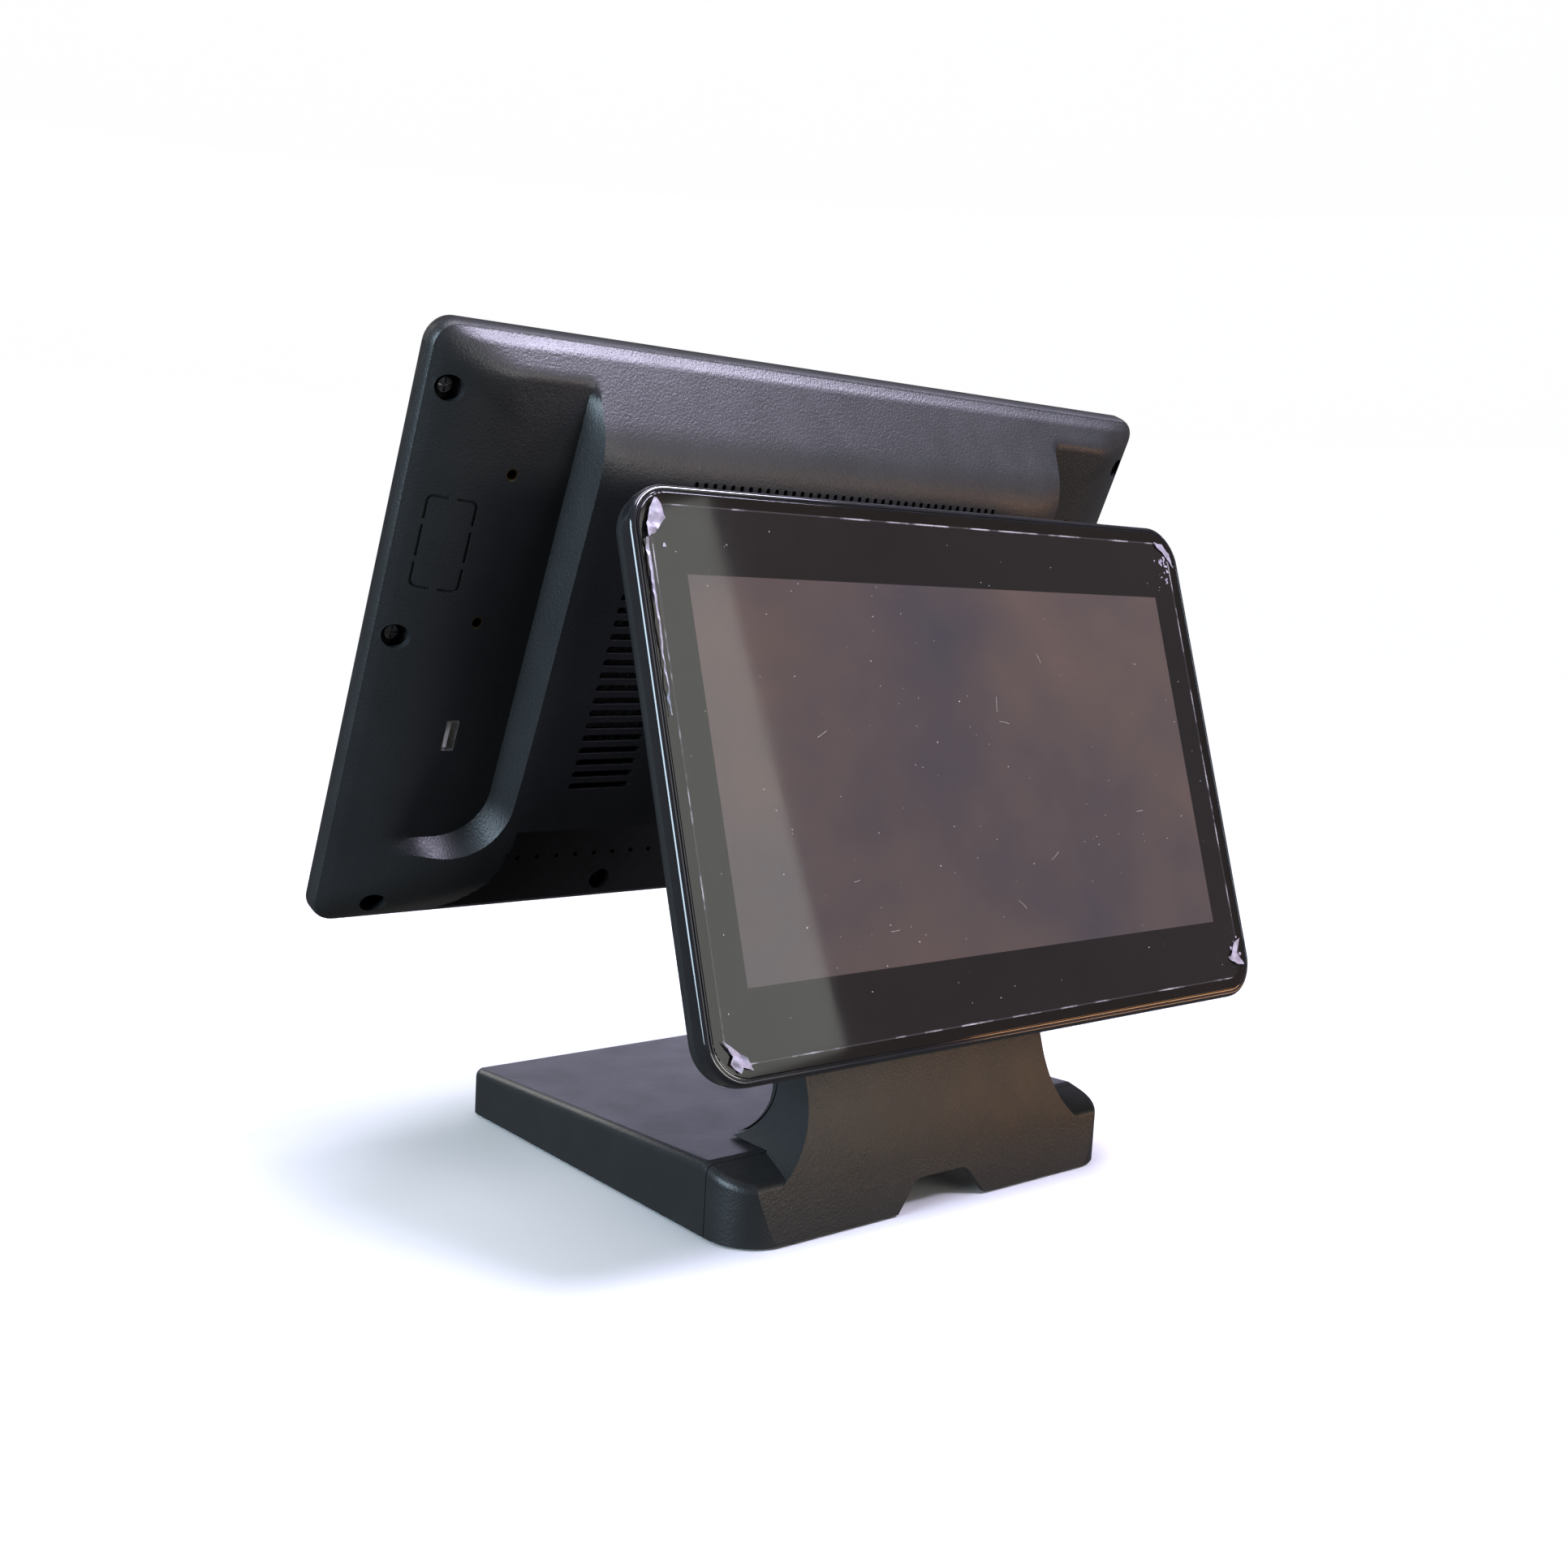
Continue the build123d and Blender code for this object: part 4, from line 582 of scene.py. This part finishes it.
# %% Places and sizes of the holes
DEEP, OUTSIDE = 8.0, 60.0       # how far cutters reach under the surface and outside it
SCREW_PLACES = ([(u, v) for u in (-182.0, 182.0) for v in (102.0, 5.0)]
                + [(u, -112.0) for u in (-169.0, -57.0, 57.0, 169.0)])
SCREW_SEAT, SEAT_RADIUS = -2.4, 5.0
SIDE_SLOTS, SIDE_PITCH, SIDE_FIRST, SIDE_MIDDLE = 18, 5.65, -50.0, 88.6
TOP_SLOTS, TOP_PITCH, TOP_V = 38, 4.46, 77.0
SIDE_SLOT, TOP_SLOT = (30.0, 3.0), (2.0, 14.0)
END_SLACK = 0.02                # flat left in a slot's round end
ACCESSORY = [(side * 153.0, v) for side in (-1, 1) for v in (74.4, 14.4)]
ACCESSORY_RADIUS = 2.5
KNOCKOUT_MIDDLE, KNOCKOUT_SIZE, KNOCKOUT_CORNER = (172.8, 44.3), (18.5, 37.0), 2.8
KNOCKOUT_LINE, KNOCKOUT_DEPTH, BRIDGE = 1.1, 1.2, 2.4
USB_MIDDLE, USB_HOLE, USB_CORNER = (153.0, -34.5), (6.1, 13.9), 0.7
BUTTON_MIDDLE, BUTTON_HOLE = (-153.0, -34.5), 6.4
SOUND_HOLES, SOUND_PITCH, SOUND_V, SOUND_RADIUS = 22, 9.8, -98.0, 1.2
PORT_NODES = ("power_inlet", "lan_jack", "usb_stack", "video_port", "serial_port")
PORT_GAP, PORT_CUT = 0.3, 10.0  # gap round a port, and height of its cutter
print("holes:", 2 * SIDE_SLOTS + TOP_SLOTS + len(SCREW_PLACES) + len(ACCESSORY) + SOUND_HOLES
      + len(PORT_NODES) + 2)


# %% Cutters
def slot_cutter(bm, size, centre):
    """Slot with round ends, right through the flat middle."""
    radius = min(size) / 2 - END_SLACK
    plate(bm, *size, radius, -OUTSIDE, -BACK + DEEP, centre, segments=4)


def knockout_cutter(bm):
    """Broken groove of the knock-out panel."""
    u, v = KNOCKOUT_MIDDLE
    width, height = KNOCKOUT_SIZE
    line = bmesh.new()
    corners = bmesh.ops.create_grid(line, x_segments=1, y_segments=1, size=0.5)["verts"]
    place = Matrix.Translation((u, v, -OUTSIDE)) @ Matrix.Diagonal((width, height, 1, 1))
    bmesh.ops.transform(line, matrix=place, verts=corners)
    bmesh.ops.bevel(line, geom=corners, offset=KNOCKOUT_CORNER, segments=6, affect="VERTICES",
                    profile=0.5, material=-1)
    bmesh.ops.inset_region(line, faces=line.faces[:], thickness=KNOCKOUT_LINE,
                           use_boundary=True, use_even_offset=True)
    inner = max(line.faces, key=lambda f: len(f.verts))
    bmesh.ops.delete(line, geom=[inner], context="FACES_ONLY")
    gaps = [((u, 0), (1, 0))] + [((0, v + s * height / 5), (0, 1)) for s in (-1, 1)]
    cuts = [((p[0] + s * BRIDGE / 2 * n[0], p[1] + s * BRIDGE / 2 * n[1]), n)
            for p, n in gaps for s in (-1, 1)]
    cuts += [((u + s * width / 4, 0), (1, 0)) for s in (-1, 1)]
    for point, normal in cuts:
        bmesh.ops.bisect_plane(line, geom=line.faces[:] + line.edges[:] + line.verts[:],
                               plane_co=(*point, 0), plane_no=(*normal, 0))
    bridges = []
    for face in line.faces:
        middle = face.calc_center_median()
        if any(abs((middle.x - p[0]) * n[0] + (middle.y - p[1]) * n[1]) < BRIDGE / 2
               for p, n in gaps):
            bridges.append(face)
    bmesh.ops.delete(line, geom=bridges, context="FACES")
    raised = bmesh.ops.extrude_face_region(line, geom=line.faces[:])["geom"]
    for vert in (g for g in raised if isinstance(g, bmesh.types.BMVert)):
        vert.co.z = KNOCKOUT_DEPTH - cover_depth(vert.co.x, vert.co.y, WIDTH)
    bmesh.ops.recalc_face_normals(line, faces=line.faces)
    bm.from_mesh(mesh_of(line, "knockout"))


def cover_cutters():
    """Every cutter of the rear cover in one bmesh."""
    bm = bmesh.new()
    for i in range(SIDE_SLOTS):
        for side in (-1, 1):
            slot_cutter(bm, SIDE_SLOT, (side * SIDE_MIDDLE, SIDE_FIRST + i * SIDE_PITCH))
    for i in range(TOP_SLOTS):
        slot_cutter(bm, TOP_SLOT, ((i - (TOP_SLOTS - 1) / 2) * TOP_PITCH, TOP_V))
    for u, v in SCREW_PLACES:
        drum(bm, u, v, -OUTSIDE, SCREW_SEAT, SEAT_RADIUS)
    for u, v in ACCESSORY:
        drum(bm, u, v, -OUTSIDE, -WING + DEEP, ACCESSORY_RADIUS, 24)
    for i in range(SOUND_HOLES):
        drum(bm, (i - (SOUND_HOLES - 1) / 2) * SOUND_PITCH, SOUND_V, -OUTSIDE, -BAY + DEEP,
             SOUND_RADIUS, 12)
    plate(bm, *USB_HOLE, USB_CORNER, -OUTSIDE, -WING + DEEP, USB_MIDDLE, segments=3)
    drum(bm, *BUTTON_MIDDLE, -OUTSIDE, -WING + DEEP, BUTTON_HOLE, 48)
    for name in PORT_NODES:
        low, high = extent(name, MAIN)
        plate(bm, high.x - low.x + 2 * PORT_GAP, PORT_CUT, 0, low.z - PORT_GAP, high.z + PORT_GAP,
              ((low.x + high.x) / 2, low.y))
    knockout_cutter(bm)
    return bm


def boolean(piece, cutter_mesh):
    """Cut a piece with a closed mesh and keep the result as its mesh."""
    tool = linked("cutter", cutter_mesh)
    cut = piece.modifiers.new("cut", "BOOLEAN")
    cut.operation, cut.solver, cut.object = "DIFFERENCE", "EXACT", tool
    ready = piece.evaluated_get(bpy.context.evaluated_depsgraph_get())
    result = bpy.data.meshes.new_from_object(ready)
    piece.modifiers.clear()
    piece.data = result
    bpy.data.objects.remove(tool)
    print(piece.name, "faces after cutting:", len(result.polygons))


cutters = mesh_of(cover_cutters(), "cutters")
print("cutter faces:", len(cutters.polygons))

# %% Cut and settle the rear cover
COVER_CREASE = 32.0
cutters.transform(MAIN)
rear_cover = settle(cover, "rear_cover_shell", MAIN, finishes["housing_plastic"], "main_display",
                    ["main_rear_cover"], crease=COVER_CREASE)
boolean(rear_cover, cutters)
rear_cover.data.set_sharp_from_angle(angle=math.radians(COVER_CREASE))

# %% [markdown]
# ## The customer display's rim
# The smaller display is framed by a piano-black rim whose edge is polished round, with a fine
# groove where it meets the glass. The groove gives the double highlight that runs down the side.
# It could be a bevelled plate, but the groove needs an exact section. So a section drawn once is
# carried round the outline: each ring of vertices is extruded from the last, and because the
# corners are arcs, insetting a ring only shortens their radius.

# %% Rim
CUSTOMER_CORNER, CORNER_STEPS = 17.0, 12
RIM_SECTION = ((0.0, -6.0), (0.0, -2.4), (0.12, -1.5), (0.5, -0.75), (1.1, -0.25), (1.7, -0.1),
               (2.1, -0.2), (2.25, -0.55), (2.5, -0.55), (2.62, -0.15), (2.95, -0.1),
               (2.95, -6.0))    # pairs of inset from the outline and level


def outline_ring(bm, size, corner):
    """Vertices of a rectangle with round corners, in order round the outline."""
    made = bmesh.ops.create_circle(bm, segments=4 * (CORNER_STEPS + 1), radius=1.0)["verts"]
    half = (size[0] / 2 - corner, size[1] / 2 - corner)
    for index, vert in enumerate(made):
        quarter, step = divmod(index, CORNER_STEPS + 1)
        angle = math.pi / 2 * (quarter + step / CORNER_STEPS)
        sign = ((1, 1), (-1, 1), (-1, -1), (1, -1))[quarter]
        vert.co = (sign[0] * half[0] + corner * math.cos(angle),
                   sign[1] * half[1] + corner * math.sin(angle), 0)
    return made


def carry_section(size, corner, section):
    """Closed ring with the given section, round a rectangle with round corners."""
    bm = bmesh.new()
    half = Vector((size[0] / 2 - corner, size[1] / 2 - corner))
    spots = {vert: vert.co.copy() for vert in outline_ring(bm, size, corner)}
    edges = first_edges = bm.edges[:]
    for place, (inset, level) in enumerate(section):
        if place:
            made = bmesh.ops.extrude_edge_only(bm, edges=edges)["geom"]
            edges = [item for item in made if isinstance(item, bmesh.types.BMEdge)]
            spots = {vert: spots[min(spots, key=lambda old: (old.co - vert.co).length)]
                     for vert in made if isinstance(vert, bmesh.types.BMVert)}
        for vert, spot in spots.items():
            pivot = Vector((math.copysign(half.x, spot.x), math.copysign(half.y, spot.y), 0))
            vert.co = pivot + (spot - pivot) * (corner - inset) / corner + Vector((0, 0, level))
    bmesh.ops.bridge_loops(bm, edges=first_edges + edges)
    bmesh.ops.recalc_face_normals(bm, faces=bm.faces)
    return bm


settle(carry_section(CUSTOMER_SIZE, CUSTOMER_CORNER, RIM_SECTION), "customer_gloss_rim", CUSTOMER,
       finishes["gloss_rim"], "customer_display", ["customer_rim"], crease=40)

# %% [markdown]
# ## Protective film
# The film was never fully removed: it lies a few millimetres in from the glass edge, its cut edge
# shows as a fine pale line in places, and the corners are scuffed where someone tried to lift
# it. True glass with refraction would be slow and still barely seen, because a clear sheet is
# mostly invisible. So it is a faint haze that gets stronger along its edge, broken up by noise.

# %% Film
FILM_CORNER, FILM_THICK = 9.5, 0.2
FILM_GAP = 0.02                 # lifts the sheet off the glass
FILM_LINE = 0.45                # width of the pale line along its edge
FILM_HAZE = 0.004


def film_finish():
    """Nearly clear film with a broken pale line along its edge."""
    film = finish("clear_film", (0.62, 0.58, 0.60), (0.75, 0.72, 0.74), (0.06, 0.16), cloud=0.05,
                  grain=0.01, bump=0.06)
    tree = film.node_tree
    shader = tree.nodes["Principled BSDF"]
    inner = inside_box(tree, CUSTOMER, *(side - 2 * FILM_LINE for side in FILM_SIZE), 0.0002)
    broken = spread(tree, noise_layer(tree, 0.014), 0.02, 0.40, 0.48, 0.66)
    edge = arithmetic(tree, "MULTIPLY", arithmetic(tree, "SUBTRACT", 1.0, inner), broken)
    tree.links.new(arithmetic(tree, "ADD", edge, FILM_HAZE), shader.inputs["Alpha"])
    return film


finishes["film"] = film_finish()
bm = bmesh.new()
plate(bm, *FILM_SIZE, FILM_CORNER, FILM_GAP, FILM_THICK, segments=10)
settle(bm, "film_sheet", CUSTOMER, finishes["film"], "customer_display",
       ["protective_film"])

# %% [markdown]
# ## Torn scraps, flakes and dust
# Where the film was picked at, thin white curls stand up from the corners, and the sheet has
# gathered dust and a few hairline scratches. The scraps are small fans of faces, crumpled by
# noise. The flakes repeat many times, so each has only a few faces, and a fixed seed keeps
# them in place from run to run.

# %% Scraps
film_white = finish("torn_film", (0.17, 0.155, 0.19), (0.40, 0.37, 0.43), (0.35, 0.5),
                    cloud=0.004, grain=0.0015, bump=0.5, depth=0.0003)
chance = random.Random(11)
SCRAP_GAP, SCRAP_THICK = 0.05, 0.06
CRUMPLE = 0.35                  # waves of the crumpled film per millimetre
STRIP_TOP, STRIP_LENGTH, STRIP_POINTS, STRIP_U = 84.0, 62.0, 16, -144.6
TOP_LEFT = ((-139.0, 98.6), (-136.0, 97.0), (-135.0, 91.5), (-139.5, 87.0), (-143.8, 84.0),
            (-143.4, 89.0), (-141.0, 95.0))
BOTTOM_LEFT = ((-142.5, -88.0), (-139.0, -93.5), (-133.5, -94.5), (-135.5, -97.6),
               (-131.0, -99.2), (-136.5, -99.6), (-140.5, -96.0))
BOTTOM_RIGHT = ((143.0, -80.5), (139.0, -82.0), (136.5, -85.0), (139.5, -86.5), (134.0, -89.0),
                (139.0, -91.5), (143.6, -92.0))
TOP_RIGHT = ((133.0, 97.5), (138.5, 96.5), (142.5, 92.5), (143.8, 86.0), (141.5, 89.0),
             (138.0, 93.0), (134.5, 95.0))


def scrap(bm, outline, lift, seed):
    """Thin crumpled scrap of film from a few corner points."""
    level = FILM_THICK + SCRAP_GAP
    verts = [bmesh.ops.create_vert(bm, co=(u, v, level))["vert"][0] for u, v in outline]
    face = bmesh.ops.contextual_create(bm, geom=verts)["faces"]
    before = set(bm.verts) - set(verts)
    bmesh.ops.triangulate(bm, faces=face)
    patch = [edge for edge in bm.edges if edge.verts[0] not in before]
    bmesh.ops.subdivide_edges(bm, edges=patch, cuts=3, use_grid_fill=True)
    for vert in set(bm.verts) - before:
        wave = noise.noise(Vector((vert.co.x * CRUMPLE, vert.co.y * CRUMPLE, seed)))
        vert.co.z += lift * (0.5 + wave)


def left_strip():
    """Ragged strip that runs down the film's edge below the torn corner."""
    right, left = [], []
    for i in range(STRIP_POINTS):
        share = i / (STRIP_POINTS - 1)
        u, v = STRIP_U + 0.5 * share, STRIP_TOP - STRIP_LENGTH * share
        wide = (1.3 - 1.0 * share) * (0.7 + 0.6 * chance.random())
        left.append((u, v))
        right.append((u + wide, v))
    return left + right[::-1]


bm = bmesh.new()
torn = ((TOP_LEFT, 0.9), (left_strip(), 0.35), (BOTTOM_LEFT, 0.5), (BOTTOM_RIGHT, 0.5),
        (TOP_RIGHT, 0.5))
for seed, (outline, lift) in enumerate(torn, start=1):
    scrap(bm, outline, lift, seed)
bmesh.ops.solidify(bm, geom=bm.faces[:], thickness=SCRAP_THICK)
settle(bm, "film_scraps", CUSTOMER, film_white, "customer_display", crease=60)


# %% Flakes
FLAKE_SPOTS = ((138.0, 88.0, 34), (139.0, -86.0, 14), (-139.0, 90.0, 6))    # u, v and how many
FLAKE_SPREAD, FLAKE_RADIUS, FLAKE_LEAST = (2.6, 4.4), (0.25, 0.35), 0.15
RAGGED = 0.4                    # how far a speck's corners stray, as a share of its radius
SPECK_GAP = 0.04


def speck(bm, u, v, radius, sides=5):
    """Flat speck with a ragged outline."""
    made = bmesh.ops.create_circle(bm, cap_ends=True, segments=sides, radius=radius)["verts"]
    for vert in made:
        vert.co.x += radius * chance.uniform(-RAGGED, RAGGED)
        vert.co.y += radius * chance.uniform(-RAGGED, RAGGED)
    lift = Matrix.Translation((u, v, FILM_THICK + SPECK_GAP))
    bmesh.ops.transform(bm, matrix=lift, verts=made)


bm = bmesh.new()
for corner_u, corner_v, count in FLAKE_SPOTS:
    for _ in range(count):
        speck(bm, corner_u + chance.gauss(0, FLAKE_SPREAD[0]),
              corner_v + chance.gauss(0, FLAKE_SPREAD[1]),
              abs(chance.gauss(*FLAKE_RADIUS)) + FLAKE_LEAST, 6)
bmesh.ops.recalc_face_normals(bm, faces=bm.faces)
settle(bm, "film_flakes", CUSTOMER, film_white, "customer_display")

# %% Dust and scratches
DUST, DUST_HALF, DUST_RADIUS = 150, (138, 92), (0.08, 0.24)
SCRATCHES, SCRATCH_LENGTH, SCRATCH_WIDTH, SCRATCH_BOW = 9, (3, 9), 0.09, 0.25
dust_grey = finish("dust", (0.42, 0.39, 0.36), (0.60, 0.57, 0.53), (0.6, 0.8), cloud=0.004)
bm = bmesh.new()
for _ in range(DUST):
    speck(bm, chance.uniform(-DUST_HALF[0], DUST_HALF[0]),
          chance.uniform(-DUST_HALF[1], DUST_HALF[1]), chance.uniform(*DUST_RADIUS))
for _ in range(SCRATCHES):
    turn = Matrix.Rotation(chance.uniform(0, math.pi), 4, "Z")
    length = chance.uniform(*SCRATCH_LENGTH)
    made = bmesh.ops.create_grid(bm, x_segments=8, y_segments=1, size=0.5)["verts"]
    bow = chance.uniform(-SCRATCH_BOW, SCRATCH_BOW)
    for vert in made:
        x, y = vert.co.x, vert.co.y
        vert.co = (x * length, y * SCRATCH_WIDTH + bow * length * (x ** 2), 0)
    spot = (chance.uniform(-100, 100), chance.uniform(-70, 80), FILM_THICK + SCRAP_GAP)
    bmesh.ops.transform(bm, matrix=Matrix.Translation(spot) @ turn, verts=made)
bmesh.ops.recalc_face_normals(bm, faces=bm.faces)
settle(bm, "film_dust", CUSTOMER, dust_grey, "customer_display")

# %% [markdown]
# ## Dressing the frame's own pieces
# Covers, brackets, screws, boards and sockets keep the shape that they have in the frame, so they
# only need their finish. The record names a material slot for each. The finish is looked up by
# that slot, so that pieces moulded or plated together look alike.

# %% Dress the frame's own pieces
for part in frame["record"]["subparts"]:
    mesh = nodes[part["node"]].data
    mesh.materials.clear()
    mesh.materials.append(finishes[part["material_slot"]])
nodes["customer_glass"].data.materials[0] = customer_glass

# %% [markdown]
# ## Floor and backdrop
# The terminal stands on a plain pale floor. A floor that ends in a dark room would show a horizon,
# so it turns into a glowing surface further out, and a pale dome closes the room. Both are seen by
# the camera only and light nothing, which leaves the light on the terminal to the soft panels.

# %% Stage
PALE = (0.98, 0.98, 0.985, 1)
FLOOR_HALF, DOME_RADIUS = 5.9, 6.0
GLOW_START, GLOW_FULL = 0.35, 1.1       # distances from the terminal where the floor glows


def staged(bm, name, finish_used):
    """Object that is only there for the picture."""
    made = linked(name, mesh_of(bm, name))
    made.data.materials.append(finish_used)
    made.visible_diffuse = False
    made.visible_glossy = False
    return made


floor_finish = finish("pale_floor", (0.80, 0.80, 0.80), (0.83, 0.83, 0.83), (0.55, 0.65),
                      cloud=0.5, grain=0.01, bump=0.02)
tree = floor_finish.node_tree
shader = tree.nodes["Principled BSDF"]
coords = node_of(tree, "ShaderNodeTexCoord")
distance = node_of(tree, "ShaderNodeVectorMath", operation="LENGTH")
tree.links.new(coords.outputs["Object"], distance.inputs[0])
far = spread(tree, distance.outputs["Value"], 0.0, 1.0, GLOW_START, GLOW_FULL)
paint = shader.inputs["Base Color"].links[0].from_socket
shader.inputs["Emission Color"].default_value = PALE
tree.links.new(far, shader.inputs["Emission Strength"])
tree.links.new(blend(tree, far, paint, (0, 0, 0)), shader.inputs["Base Color"])
bm = bmesh.new()
bmesh.ops.create_grid(bm, x_segments=1, y_segments=1, size=FLOOR_HALF)
staged(bm, "floor", floor_finish)

dome_finish = bpy.data.materials.new("pale_backdrop")
dome_finish.use_nodes = True
shader = dome_finish.node_tree.nodes["Principled BSDF"]
shader.inputs["Base Color"].default_value = (0, 0, 0, 1)
shader.inputs["Emission Color"].default_value = PALE
shader.inputs["Emission Strength"].default_value = 1.0
bm = bmesh.new()
bmesh.ops.create_uvsphere(bm, u_segments=48, v_segments=24, radius=DOME_RADIUS)
bmesh.ops.reverse_faces(bm, faces=bm.faces)
staged(bm, "backdrop", dome_finish).visible_shadow = False
print("floor half width and dome radius in metres:", FLOOR_HALF, DOME_RADIUS)

# %% [markdown]
# ## Light
# On a counter the broad highlights come from ceiling lights and windows. A picture of a room could
# light the scene, but then no highlight could be set by itself. So each has a soft panel of its
# own: a large violet one high above for the top slopes, a blue one on the left for the side
# walls, a warm one low on the right, and weak ones that fill the rest.

# %% Lights
TARGET = Vector((0, 0, 0.15))
PANELS = (      # name, place and size in metres, watts, colour
    ("top_panel", (-0.92, 1.05, 2.2), (1.5, 0.5), 135, (0.80, 0.76, 1.0)),
    ("overhead", (0.0, 0.1, 2.1), (1.6, 0.8), 22, (0.88, 0.86, 1.0)),
    ("glass_panel", (-0.8, 1.75, 0.95), (1.0, 0.9), 3.4, (0.95, 1.0, 0.93)),
    ("left_panel", (2.0, 0.15, 0.7), (0.9, 1.4), 58, (0.66, 0.84, 1.0)),
    ("low_panel", (-0.5, 2.0, 0.28), (1.2, 0.4), 11, (1.0, 0.98, 0.93)),
    ("rear_sheen", (-1.3, -1.7, 0.45), (1.4, 0.5), 4.5, (0.74, 0.72, 1.0)),
    ("right_panel", (-1.2, 1.0, 0.14), (0.5, 0.25), 2.4, (1.0, 0.50, 0.22)),
    ("front_fill", (0.3, -1.9, 1.2), (1.2, 1.0), 14, (1.0, 0.98, 0.95)),
)
for name, place, size, watts, colour in PANELS:
    lamp = bpy.data.lights.new(name, "AREA")
    lamp.shape = "RECTANGLE"
    lamp.size, lamp.size_y = size
    lamp.energy = watts
    lamp.color = colour
    panel = linked(name, lamp)
    panel.location = place
    panel.rotation_euler = (TARGET - Vector(place)).to_track_quat("-Z", "Y").to_euler()
    panel.visible_camera = False

world = bpy.data.worlds.new("studio")
world.use_nodes = True
world.node_tree.nodes["Background"].inputs["Color"].default_value = (0.9, 0.9, 0.92, 1)
world.node_tree.nodes["Background"].inputs["Strength"].default_value = 0.12
bpy.context.scene.world = world
bpy.context.scene.view_settings.view_transform = "Standard"
print("soft panels:", len(PANELS))

# %% [markdown]
# ## Camera
# The camera stands in front of the customer's side, to the left, looks slightly down and leans a
# little. It could be turned by a chain of rotations, but its three axes are worked out from the
# angles instead, because a matrix of axes takes the lean just as easily.

# %% Camera
CAMERA_PLACE = Vector((0.4888, 0.5495, 0.2513))
FOCAL, SENSOR, FAR_CLIP = 39.87, 36.0, 50.0
AZIMUTH, ELEVATION, ROLL = (math.radians(a) for a in (139.97, 7.13, 3.2))
back = Vector((math.sin(AZIMUTH) * math.cos(ELEVATION), -math.cos(AZIMUTH) * math.cos(ELEVATION),
               math.sin(ELEVATION)))
right = (-back).cross(Vector((0, 0, 1))).normalized()
up = right.cross(-back)
rolled_right = right * math.cos(ROLL) + up * math.sin(ROLL)
rolled_up = up * math.cos(ROLL) - right * math.sin(ROLL)
lens = bpy.data.cameras.new("camera")
lens.lens, lens.sensor_width, lens.clip_end = FOCAL, SENSOR, FAR_CLIP
camera = linked("camera", lens)
axes = Matrix((rolled_right, rolled_up, back)).transposed().to_4x4()
camera.matrix_world = Matrix.Translation(CAMERA_PLACE) @ axes
bpy.context.scene.camera = camera
print("camera to target:", round((CAMERA_PLACE - TARGET).length, 3), "metres")
